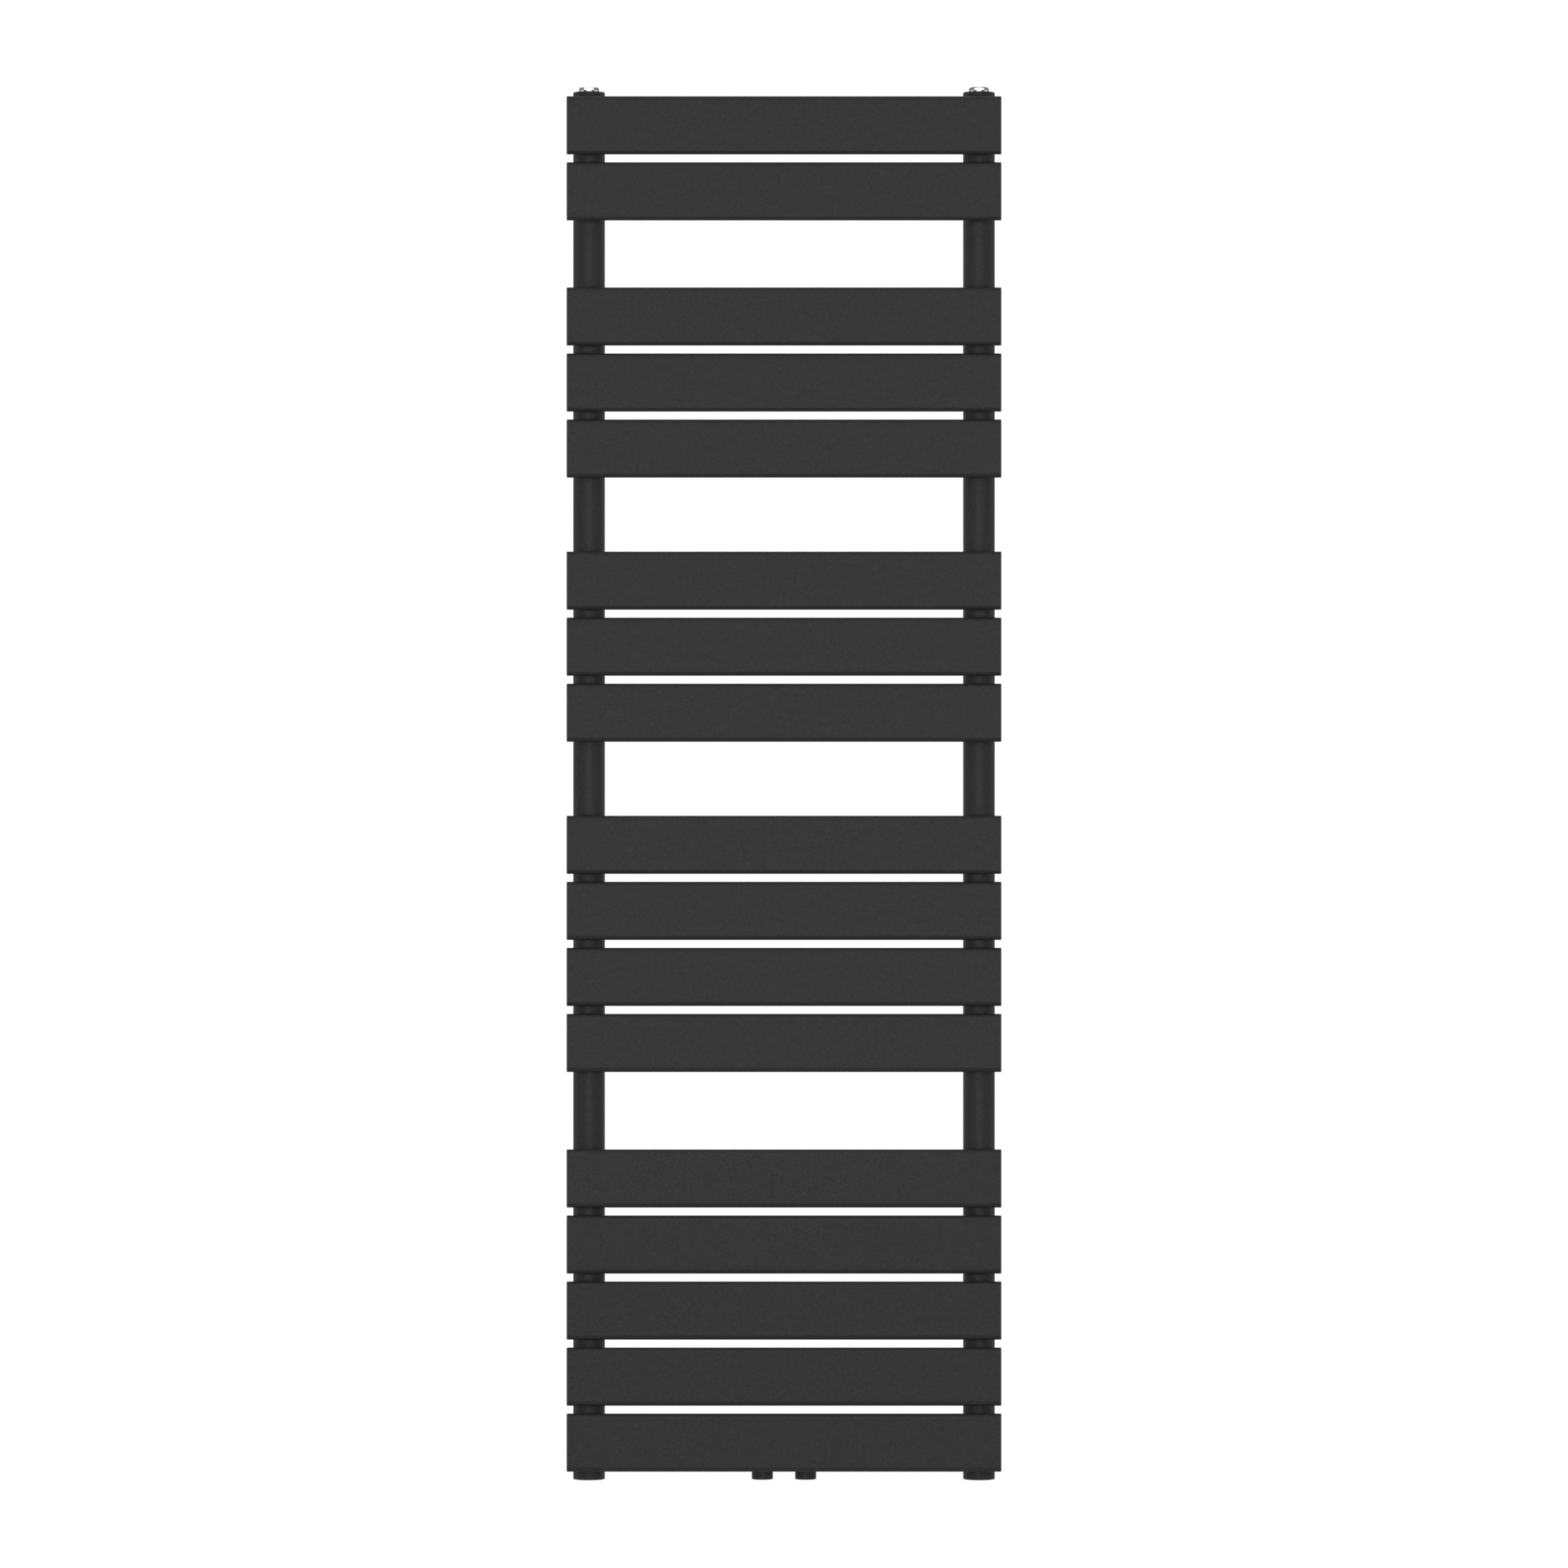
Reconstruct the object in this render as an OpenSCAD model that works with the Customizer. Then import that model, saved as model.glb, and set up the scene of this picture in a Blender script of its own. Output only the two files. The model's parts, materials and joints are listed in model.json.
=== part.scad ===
// Hot water towel rack. Flat steel panels are welded in front of two round
// collectors, with two pipe connections side by side at the bottom, a blind
// plug and an air vent on top, and four telescopic holders on the wall.
// X runs to the right and Z up. The wall's face is y = 0, the rack stands
// in front of it at negative y, and z = 0 is halfway up the collectors.

/* [Panels] */
// Length of every panel, end to end
panel_len = 500; // [400:10:1000]
// Height of a panel
panel_h = 67; // [45:1:90]
// Thickness of a panel, front to back
panel_t = 11; // [9:0.5:16]
// Wall of a panel's flat oval tube
panel_wall = 1.5; // [1:0.1:2.5]
// Thickness of the plate that closes each panel end
end_plate_t = 1.5; // [1:0.1:3]
// Gap between the panels of one group
panel_gap = 9; // [4:1:30]

/* [Groups, top to bottom] */
// Panels in the first group
panels_1 = 2; // [1:1:6]
// Panels in the second group
panels_2 = 3; // [1:1:6]
// Panels in the third group
panels_3 = 3; // [1:1:6]
// Panels in the fourth group
panels_4 = 4; // [1:1:6]
// Panels in the fifth group
panels_5 = 5; // [1:1:6]
// Towel gap under the first group
towel_gap_1 = 77; // [40:1:160]
// Towel gap under the second group
towel_gap_2 = 85; // [40:1:160]
// Towel gap under the third group
towel_gap_3 = 85; // [40:1:160]
// Towel gap under the fourth group
towel_gap_4 = 89; // [40:1:160]

/* [Collectors] */
// Outer diameter of a collector tube
collector_d = 36.5; // [32:0.5:42]
// Wall of a collector tube
collector_wall = 1.5; // [1:0.1:2]
// From a panel's end to the collector's axis
collector_inset = 25; // [20:1:60]
// How far the collectors stand above the top panel
top_overhang = 6.5; // [3:0.5:40]
// How far the collectors reach below the bottom panel
bottom_overhang = 10.5; // [3:0.5:40]
// Space between the panels' backs and the collectors' fronts
standoff = 0.75; // [0.5:0.05:3]
// Outer diameter of the short tube that joins a panel to a collector
nipple_d = 18; // [12:0.5:22]
// Wall of that short tube
nipple_wall = 1.5; // [1:0.1:2.5]
// How far that short tube stands into the panel and into the collector
nipple_reach = 1; // [0.4:0.1:2]
// Flange of the threaded bush on a collector's top
bush_flange = 3; // [2:0.5:6]
// Length of the bush inside the collector
bush_reach = 13; // [12:0.5:20]
// Disc that closes a collector's bottom
cap_t = 2.5; // [2:0.5:5]
// Centring step of that disc inside the collector
cap_step = 2; // [1:0.5:5]

/* [Pipe connections] */
// Distance between the two connections
connection_spacing = 50; // [50:5:120]
// Outer diameter of a connection socket
socket_d = 24.4; // [23.5:0.1:28]
// Depth of the female thread in a socket
thread_depth = 14; // [10:0.5:16]
// Core diameter of the half-inch pipe thread
thread_core = 18.632; // [18.6:0.004:19]
// Water passage behind the thread
passage_d = 16; // [10:0.5:17]
// Outer diameter of the cross pipe behind the bottom panel
manifold_d = 30; // [26:0.5:31]
// Wall of the cross pipe
manifold_wall = 1.5; // [1:0.1:2]
// Thickness of the wall that parts flow from return in the cross pipe
baffle_t = 2; // [1:0.5:4]

/* [Plug and air vent] */
// Width across the flats of the hexagons
hex_af = 20; // [18:0.5:24]
// Height of the blind plug's hexagon
plug_hex_h = 3.2; // [3:0.1:8]
// Height of the vent's hexagon
vent_hex_h = 3.6; // [3:0.1:8]
// Diameter of the flat on top of the plug's barely chamfered hexagon
plug_flat_d = 22; // [17:0.5:23]
// Diameter of the flat on top of the vent's chamfered hexagon
vent_flat_d = 18.8; // [12:0.1:19.5]
// Diameter of the round flange under a hexagon
flange_d = 23.2; // [23:0.1:28]
// Thickness of that flange
flange_t = 2.1; // [2:0.1:4]
// Thickness of the seal ring's section
seal_t = 1.8; // [1.5:0.1:2.2]
// Length of the male thread
plug_thread = 10; // [8:0.5:12]
// Thread diameter of the bleed screw
bleed_d = 8; // [6:0.5:9]
// How far the bleed screw sits below the top of the vent
bleed_sink = 0.5; // [0:0.1:1]
// Diameter of the bleed screw's stem
bleed_stem_d = 4.4; // [3.5:0.1:5]
// Diameter of the air passage under the bleed screw
bleed_hole = 3; // [2:0.5:3]
// Diameter of the hole that lets the air out at the back
weep_d = 1.5; // [1:0.1:2]

/* [Wall holders] */
// From the wall to the collectors' axes
wall_distance = 70; // [66:1:100]
// Adjustment of that distance, each way
travel = 7; // [3:0.5:8]
// From a collector's end to its wall holder
holder_inset = 150; // [100:5:400]
// Diameter of the boss welded to a collector's back
boss_d = 22; // [18:0.5:26]
// Length of the boss, on its axis
boss_len = 9; // [7:0.5:12]
// Diameter of the stem screwed into the boss
stem_d = 20; // [18:0.5:24]
// Width across the stem's spanner flats
stem_af = 17; // [13:0.5:19]
// Outer diameter of a wall socket
holder_d = 30; // [28:0.5:34]
// Floor of a wall socket, against the wall
holder_floor = 5; // [3:0.5:8]
// Room for the head of the wall screw
screw_head_h = 4.5; // [3:0.5:6]
// Hole for the wall screw
wall_hole_d = 6.5; // [4.5:0.5:8]
// Core diameter of the boss's M10 thread
stud_d = 8.376; // [8.3:0.001:8.5]
// Metal left between that thread and the collector
tap_floor = 1; // [0.5:0.5:2]
// Core diameter of the grub screw's M6 thread
grub_d = 4.917; // [4.9:0.001:5]

/* [Clearances] */
// Around the stem in its wall socket, each side
stem_gap = 0.05; // [0.02:0.01:0.1]
// Around the bleed screw in the vent, each side
bleed_gap = 0.05; // [0.02:0.01:0.1]
// Between the bleed screw's cone and its seat
seat_gap = 0.1; // [0.05:0.05:0.2]
// Around a seal ring in its recess, each side
seal_gap = 0.05; // [0.02:0.01:0.1]
// Between the grub screw's tip and the stem
grub_gap = 0.1; // [0.05:0.05:0.3]
// Between a wall socket's mouth and the boss, pushed right in
mouth_gap = 1.25; // [0.5:0.25:3]
// Between the stem and the wall screw's head, pushed right in
head_gap = 0.5; // [0.5:0.25:2]

/* [Hidden] */
$fn = 96;
past = 1;
tip_room = 0.5;
coat = [0.22, 0.22, 0.22];
chrome = [0.8, 0.8, 0.82];
steel = [0.55, 0.55, 0.57];
rubber = [0.08, 0.08, 0.08];

sides = [-1, 1];
side_names = ["left", "right"];
level_names = ["bottom", "top"];
counts = [panels_1, panels_2, panels_3, panels_4, panels_5];
towel_gaps = [towel_gap_1, towel_gap_2, towel_gap_3, towel_gap_4];

function total(list, last) = last < 0 ? 0 : list[last] + total(list, last - 1);

panel_count = total(counts, len(counts) - 1);
small_gaps = panel_count - len(counts);
stack_h = panel_count * panel_h + small_gaps * panel_gap + total(towel_gaps, len(towel_gaps) - 1);
collector_len = stack_h + top_overhang + bottom_overhang;
top_z = collector_len / 2;
bottom_z = -top_z;

// The towel gap under a panel, as a list that is empty inside a group
function towel_gap_under(i) =
    [for (g = [0 : len(towel_gaps) - 1]) if (total(counts, g) == i + 1) towel_gaps[g]];
function gap_under(i) = len(towel_gap_under(i)) > 0 ? towel_gap_under(i)[0] : panel_gap;
function panel_top(i) =
    i == 0 ? top_z - top_overhang : panel_top(i - 1) - panel_h - gap_under(i - 1);
function panel_z(i) = panel_top(i) - panel_h / 2;
function panel_name(i) = str("panel_", i < 9 ? "0" : "", i + 1);

collector_r = collector_d / 2;
collector_bore = collector_d - 2 * collector_wall;
collector_x = panel_len / 2 - collector_inset;
collector_y = -wall_distance;
panel_back = collector_y - collector_r - standoff;
panel_y = panel_back - panel_t / 2;

nipple_front = panel_back - panel_wall - nipple_reach;
nipple_back = collector_y + nipple_reach
    - sqrt(pow(collector_bore / 2, 2) - pow(nipple_d / 2, 2));

end_chamfer = 0.5;

manifold_z = panel_z(panel_count - 1);
manifold_bore = manifold_d - 2 * manifold_wall;
socket_chamfer = 0.8;

recess_d = thread_core + 2 * (seal_t + 2 * seal_gap);
seal_ring_d = (thread_core + recess_d) / 2;
plug_hollow_d = 12;
plug_floor = 2;

// Heights on the vent are counted from the collector's top
bleed_bore = bleed_d + 2 * bleed_gap;
vent_top = flange_t + vent_hex_h;
bleed_top = vent_top - bleed_sink;
bleed_thread = 3.2;
seat_z = -3.6;
bleed_tip_d = 1.2;
bleed_tip_z = seat_z - (bleed_hole - bleed_tip_d) / 2 + seat_gap;
bleed_cone_h = (bleed_stem_d - bleed_tip_d) / 2;
slot_w = 1.2;
slot_depth = 1.6;
weep_z = flange_t / 2;

holder_z = top_z - holder_inset;
boss_face = wall_distance - collector_r - boss_len;
boss_tap = boss_len - tap_floor;
stud_len = boss_tap - tip_room;
holder_len = boss_face - travel - mouth_gap;
holder_bore = stem_d + 2 * stem_gap;
holder_chamfer = 1;
stem_end = holder_floor + screw_head_h + head_gap + travel;
stem_chamfer = 1;
stem_flat_len = 5;
grub_inset = 6;
grub_af = 3;
grub_recess = 2;
grub_cone = 0.8;

// Rods and a cone that run from the origin along X or Y
module rod_x(d, len) {
    rotate([0, 90, 0]) cylinder(d = d, h = len);
}

module rod_y(d, len) {
    rotate([-90, 0, 0]) cylinder(d = d, h = len);
}

module cone_y(d1, d2, len) {
    rotate([-90, 0, 0]) cylinder(d1 = d1, d2 = d2, h = len);
}

// Flat oval outline with fully rounded long edges
module flat_oval(h, t) {
    square([t, h - t], center = true);
    for (side = sides)
        translate([0, side * (h - t) / 2]) circle(d = t);
}

// The same outline drawn out along X, centred on x = 0
module oval_bar(h, t, len) {
    rotate([90, 0, 90])
        linear_extrude(height = len, center = true) flat_oval(h, t);
}

module at_collector(side) {
    translate([side * collector_x, collector_y, 0]) children();
}

module collector_outline(side) {
    at_collector(side)
        translate([0, 0, bottom_z]) cylinder(d = collector_d, h = collector_len);
}

module manifold_outline() {
    translate([-collector_x, collector_y, manifold_z]) rod_x(manifold_d, 2 * collector_x);
}

module panel(i) {
    color(coat) difference() {
        translate([0, panel_y, panel_z(i)])
            oval_bar(panel_h, panel_t, panel_len - 2 * end_plate_t);
        translate([0, panel_y, panel_z(i)])
            oval_bar(panel_h - 2 * panel_wall, panel_t - 2 * panel_wall, panel_len);
        for (side = sides)
            translate([side * collector_x, panel_y, panel_z(i)]) rod_y(nipple_d, panel_t);
    }
}

module end_plates(side) {
    plate_x = side * (panel_len - end_plate_t) / 2;
    color(coat) for (i = [0 : panel_count - 1])
        translate([plate_x, panel_y, panel_z(i)]) oval_bar(panel_h, panel_t, end_plate_t);
}

module nipples(side) {
    nipple_len = nipple_back - nipple_front;
    color(coat) for (i = [0 : panel_count - 1])
        translate([side * collector_x, nipple_front, panel_z(i)]) difference() {
            rod_y(nipple_d, nipple_len);
            translate([0, -past, 0]) rod_y(nipple_d - 2 * nipple_wall, nipple_len + 2 * past);
        }
}

module collector(side) {
    color(coat) difference() {
        at_collector(side) difference() {
            translate([0, 0, bottom_z + cap_t])
                cylinder(d = collector_d, h = collector_len - cap_t - bush_flange);
            translate([0, 0, bottom_z]) cylinder(d = collector_bore, h = collector_len);
        }
        for (i = [0 : panel_count - 1])
            translate([side * collector_x, nipple_front, panel_z(i)])
                rod_y(nipple_d, collector_y - nipple_front);
        translate([min(0, side * collector_x), collector_y, manifold_z])
            rod_x(manifold_bore, collector_x);
    }
}

// Disc as wide as a collector, standing on z = 0, with its upper edge chamfered
module end_disc(t) {
    cylinder(d = collector_d, h = t - end_chamfer);
    translate([0, 0, t - end_chamfer])
        cylinder(d1 = collector_d, d2 = collector_d - 2 * end_chamfer, h = end_chamfer);
}

// Turned bush that closes a collector's top, with a recess for a seal ring
module top_bush(side) {
    color(coat) at_collector(side) translate([0, 0, top_z]) difference() {
        union() {
            translate([0, 0, -bush_flange]) end_disc(bush_flange);
            translate([0, 0, -bush_flange - bush_reach])
                cylinder(d = collector_bore, h = bush_reach + bush_flange / 2);
        }
        translate([0, 0, -bush_flange - bush_reach - past])
            cylinder(d = thread_core, h = bush_flange + bush_reach + 2 * past);
        translate([0, 0, -seal_t]) cylinder(d = recess_d, h = seal_t + past);
    }
}

module bottom_cap(side) {
    color(coat) at_collector(side) translate([0, 0, bottom_z + cap_t]) {
        mirror([0, 0, 1]) end_disc(cap_t);
        translate([0, 0, -cap_t / 2]) cylinder(d = collector_bore, h = cap_t / 2 + cap_step);
    }
}

// Cross pipe, with saddle cuts where it meets the collectors
module manifold() {
    color(coat) difference() {
        manifold_outline();
        translate([-collector_x - past, collector_y, manifold_z])
            rod_x(manifold_bore, 2 * (collector_x + past));
        for (side = sides) {
            collector_outline(side);
            translate([side * connection_spacing / 2, collector_y, manifold_z - manifold_d])
                cylinder(d = passage_d, h = manifold_d);
        }
    }
}

module manifold_baffle() {
    color(steel) translate([-baffle_t / 2, collector_y, manifold_z])
        rod_x(manifold_bore, baffle_t);
}

// Threaded socket with a saddle cut where it meets the cross pipe
module connection_socket(side) {
    mouth_d = thread_core + 4 * socket_chamfer;
    color(coat) difference() {
        translate([side * connection_spacing / 2, collector_y, bottom_z]) difference() {
            cylinder(d = socket_d, h = manifold_z - bottom_z);
            translate([0, 0, -past]) cylinder(d = thread_core, h = thread_depth + past);
            cylinder(d = passage_d, h = manifold_z - bottom_z + past);
            translate([0, 0, -socket_chamfer])
                cylinder(d1 = mouth_d, d2 = thread_core, h = 2 * socket_chamfer);
        }
        manifold_outline();
    }
}

// Hexagon on top of a flange, with two flats facing front and back, its
// corners turned down at 30 degrees from a round flat on top
module hexagon(h, flat_d) {
    translate([0, 0, flange_t]) intersection() {
        cylinder(d = hex_af / cos(30), h = h, $fn = 6);
        cylinder(d1 = flat_d + 2 * h / tan(30), d2 = flat_d, h = h);
    }
}

// Flange and male thread under a hexagon
module plug_body() {
    cylinder(d = flange_d, h = flange_t);
    translate([0, 0, -plug_thread]) cylinder(d = thread_core, h = plug_thread + flange_t / 2);
}

module seal_ring() {
    translate([0, 0, -seal_t / 2])
        rotate_extrude() translate([seal_ring_d / 2, 0]) circle(d = seal_t);
}

module blind_plug() {
    color(chrome) at_collector(-1) translate([0, 0, top_z]) difference() {
        union() {
            hexagon(plug_hex_h, plug_flat_d);
            plug_body();
        }
        translate([0, 0, -plug_thread - past])
            cylinder(d = plug_hollow_d, h = plug_thread - plug_floor + past);
    }
}

module blind_plug_seal() {
    color(rubber) at_collector(-1) translate([0, 0, top_z]) seal_ring();
}

module vent_body() {
    passage_z = -plug_thread - past;
    color(chrome) at_collector(1) translate([0, 0, top_z]) difference() {
        union() {
            hexagon(vent_hex_h, vent_flat_d);
            plug_body();
        }
        translate([0, 0, seat_z]) cylinder(d = bleed_bore, h = vent_top - seat_z + past);
        translate([0, 0, passage_z]) cylinder(d = bleed_hole, h = seat_z - passage_z + past);
        translate([0, 0, weep_z]) rod_y(weep_d, hex_af);
    }
}

module vent_seal() {
    color(rubber) at_collector(1) translate([0, 0, top_z]) seal_ring();
}

// Slotted screw with a stem whose cone closes the air passage
module bleed_screw() {
    thread_z = bleed_top - bleed_thread;
    color(steel) at_collector(1) translate([0, 0, top_z]) difference() {
        rotate_extrude() polygon([
            [0, bleed_tip_z],
            [bleed_tip_d / 2, bleed_tip_z],
            [bleed_stem_d / 2, bleed_tip_z + bleed_cone_h],
            [bleed_stem_d / 2, thread_z],
            [bleed_d / 2, thread_z],
            [bleed_d / 2, bleed_top],
            [0, bleed_top]
        ]);
        translate([-bleed_d, -slot_w / 2, bleed_top - slot_depth])
            cube([2 * bleed_d, slot_w, slot_depth + past]);
    }
}

module at_holder(level, side) {
    translate([side * collector_x, 0, level * holder_z]) children();
}

// Boss with a tapped hole and a saddle cut where it meets the collector
module boss(level, side) {
    color(coat) difference() {
        at_holder(level, side) translate([0, collector_y, 0])
            rod_y(boss_d, wall_distance - boss_face);
        collector_outline(side);
        at_holder(level, side) translate([0, -boss_face - boss_tap, 0])
            rod_y(stud_d, boss_tap + past);
    }
}

// Stem with a stud for the boss, spanner flats and a chamfered free end
module stem(level, side) {
    body_len = boss_face - stem_end;
    color(steel) at_holder(level, side) translate([0, -boss_face, 0]) difference() {
        union() {
            rod_y(stem_d, body_len - stem_chamfer);
            translate([0, body_len - stem_chamfer, 0])
                cone_y(stem_d, stem_d - 2 * stem_chamfer, stem_chamfer);
            translate([0, -stud_len, 0]) rod_y(stud_d, stud_len + past);
        }
        for (s = sides)
            translate([s * (stem_af / 2 + stem_d / 2), stem_flat_len / 2, 0])
                cube([stem_d, stem_flat_len, 2 * stem_d], center = true);
    }
}

// Cup on the wall, with a hole for the wall screw and one for the grub screw
module wall_socket(level, side) {
    color(coat) at_holder(level, side) translate([0, -holder_len, 0]) difference() {
        union() {
            cone_y(holder_d - 2 * holder_chamfer, holder_d, holder_chamfer);
            translate([0, holder_chamfer, 0]) rod_y(holder_d, holder_len - holder_chamfer);
        }
        translate([0, -past, 0]) rod_y(holder_bore, holder_len - holder_floor + past);
        rod_y(wall_hole_d, holder_len + past);
        translate([0, grub_inset, -holder_d]) cylinder(d = grub_d, h = holder_d);
        translate([0, -holder_chamfer, 0])
            cone_y(holder_bore + 4 * holder_chamfer, holder_bore, 2 * holder_chamfer);
    }
}

module grub_screw() {
    tip_z = stem_d / 2 + grub_gap;
    len = holder_d / 2 - tip_z;
    translate([0, 0, -holder_d / 2]) difference() {
        union() {
            cylinder(d = grub_d, h = len - grub_cone);
            translate([0, 0, len - grub_cone])
                cylinder(d1 = grub_d, d2 = grub_d - 2 * grub_cone, h = grub_cone);
        }
        translate([0, 0, -past]) cylinder(d = grub_af / cos(30), h = grub_recess + past, $fn = 6);
    }
}

module grub_screws() {
    color(steel) for (level = sides)
        for (side = sides)
            at_holder(level, side) translate([0, grub_inset - holder_len, 0]) grub_screw();
}

for (i = [0 : panel_count - 1])
    panel(i);

for (s = [0, 1]) {
    end_plates(sides[s]);
    nipples(sides[s]);
    collector(sides[s]);
    top_bush(sides[s]);
    bottom_cap(sides[s]);
}

manifold();
manifold_baffle();
connection_socket(-1);  // flow_socket
connection_socket(1);  // return_socket
blind_plug();
blind_plug_seal();
vent_body();
vent_seal();
bleed_screw();

for (level = [0, 1])
    for (s = [0, 1]) {
        place = str(level_names[level], "_", side_names[s]);
        boss(sides[level], sides[s]);
        stem(sides[level], sides[s]);
        wall_socket(sides[level], sides[s]);
    }

grub_screws();
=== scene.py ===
"""Fine pieces, finishes and studio for a hot water towel rack.

X runs to the right, Z up, and the wall's face is y = 0 with the rack in
front of it at negative y. Everything is in metres.
"""

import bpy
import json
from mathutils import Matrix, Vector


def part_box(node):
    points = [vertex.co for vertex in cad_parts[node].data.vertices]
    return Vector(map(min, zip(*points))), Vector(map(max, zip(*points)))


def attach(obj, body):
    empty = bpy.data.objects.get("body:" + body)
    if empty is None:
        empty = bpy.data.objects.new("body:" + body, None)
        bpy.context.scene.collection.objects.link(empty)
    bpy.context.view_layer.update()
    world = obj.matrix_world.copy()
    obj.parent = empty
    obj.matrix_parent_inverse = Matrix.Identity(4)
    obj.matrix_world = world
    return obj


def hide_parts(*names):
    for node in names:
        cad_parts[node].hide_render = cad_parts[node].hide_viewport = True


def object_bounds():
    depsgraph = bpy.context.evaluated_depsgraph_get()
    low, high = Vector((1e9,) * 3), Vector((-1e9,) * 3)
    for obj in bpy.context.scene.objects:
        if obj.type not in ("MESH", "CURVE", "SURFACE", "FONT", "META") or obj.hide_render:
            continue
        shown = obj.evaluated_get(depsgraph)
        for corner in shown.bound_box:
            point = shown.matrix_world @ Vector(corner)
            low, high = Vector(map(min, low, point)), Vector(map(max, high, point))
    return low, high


bl_info = {
    "name": "Hot water towel rack",
    "version": (1, 0, 0),
    "blender": (4, 5, 0),
    "location": "3D View > Sidebar > Towel rack",
    "description": "Adds the fine pieces, finishes and studio of a steel towel rack",
    "category": "Object",
}

import json
import math

import bmesh
import bpy
from bpy.props import FloatProperty, FloatVectorProperty, IntProperty, PointerProperty
from mathutils import Matrix, Vector

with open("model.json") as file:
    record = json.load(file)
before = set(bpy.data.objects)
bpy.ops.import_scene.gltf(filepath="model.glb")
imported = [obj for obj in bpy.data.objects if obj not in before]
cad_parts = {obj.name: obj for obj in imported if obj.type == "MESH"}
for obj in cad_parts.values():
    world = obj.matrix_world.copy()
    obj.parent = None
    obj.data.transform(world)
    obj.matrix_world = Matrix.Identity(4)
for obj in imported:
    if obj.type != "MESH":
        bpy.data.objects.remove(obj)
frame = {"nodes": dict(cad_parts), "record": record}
cad_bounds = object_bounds()

MM = 0.001
SIDES = {"left": -1, "right": 1}
LEVELS = ("bottom", "top")
PANELS = sorted(name for name in frame["nodes"] if name.startswith("panel_"))


def middle(node):
    low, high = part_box(node)
    return (low + high) / 2


def extent(node):
    low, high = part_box(node)
    return high - low


COLLECTOR_R = extent("collector_left").x / 2
COLLECTOR_AXIS = {side: middle(f"bottom_cap_{side}") for side in SIDES}
MANIFOLD = middle("manifold")
MANIFOLD_R = extent("manifold").y / 2
TOP_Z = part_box("top_bush_left")[1].z
PANEL_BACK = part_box("panel_01")[1].y

# The finish that each of the record's material slots takes
FINISHES = {
    "powder_coat": "anthracite_coat",
    "chrome": "bright_chrome",
    "brass": "turned_brass",
    "zinc_plated_steel": "zinc_plating",
    "bare_steel": "zinc_plating",
    "rubber": "seal_rubber",
}


# ---------------------------------------------------------------- settings


def length_prop(label, about, default, digits=5):
    return FloatProperty(
        name=label,
        description=about,
        default=default,
        subtype="DISTANCE",
        unit="LENGTH",
        precision=digits,
    )


def color_prop(label, about, default):
    return FloatVectorProperty(
        name=label, description=about, default=default, subtype="COLOR", size=3
    )


def share_prop(label, about, default):
    return FloatProperty(name=label, description=about, default=default, min=0.0, max=1.0)


def power_prop(label, about, default):
    return FloatProperty(
        name=label, description=about, default=default, subtype="POWER", unit="POWER"
    )


class TowelRackFinish(bpy.types.PropertyGroup):
    """Colours and surface detail of the rack's finishes"""

    coat_color: color_prop("Coat color", "Colour of the powder coat", (0.0262, 0.0262, 0.0264))
    coat_roughness: share_prop("Coat roughness", "Roughness of the satin coat", 0.42)
    grain_size: length_prop("Grain size", "Width of a bump of the coat's texture", 0.7 * MM)
    grain_height: length_prop("Grain height", "Height of the coat's texture", 0.16 * MM, 6)
    mottle_size: length_prop("Mottle size", "Width of the coat's paler patches", 1.45 * MM)
    chrome_color: color_prop("Chrome color", "Colour of the chrome plating", (0.70, 0.70, 0.72))
    brass_color: color_prop("Brass color", "Colour of the plain brass", (0.60, 0.43, 0.18))
    zinc_color: color_prop("Zinc color", "Colour of the blue zinc plating", (0.50, 0.52, 0.55))
    rubber_color: color_prop("Rubber color", "Colour of the seal rings", (0.012, 0.012, 0.012))


class TowelRackEnds(bpy.types.PropertyGroup):
    """Sizes of the plates that close the panels"""

    edge_radius: length_prop("Edge radius", "Rounding of a plate's ground outer edge", 0.55 * MM)
    arc_points: IntProperty(
        name="Arc points",
        description="Points along each round edge of a plate",
        default=24,
        min=6,
        max=64,
    )


class TowelRackWelds(bpy.types.PropertyGroup):
    """Sizes of the weld seams"""

    seam_radius: length_prop("Seam radius", "Seams of the tubes, bosses and sockets", 2 * MM)
    cap_seam_radius: length_prop("Cap seam radius", "Seams at the collectors' ends", 0.5 * MM)
    panel_seam_length: length_prop("Panel seam length", "Length of a seam behind a panel", 44 * MM)
    panel_seam_radius: length_prop("Panel seam radius", "Radius of such a seam", 2 * MM)
    panel_seam_offset: length_prop("Panel seam offset", "Seam to collector's axis", 9.6 * MM)
    ripple_pitch: length_prop("Ripple pitch", "From one ripple to the next", 1.7 * MM)
    ripple_height: length_prop("Ripple height", "Height of a ripple", 0.18 * MM, 6)
    wander: length_prop("Wander", "How far a seam strays from its line", 0.12 * MM, 6)
    seed: IntProperty(name="Seed", description="Fixed seed for how the seams stray", default=7)


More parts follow.
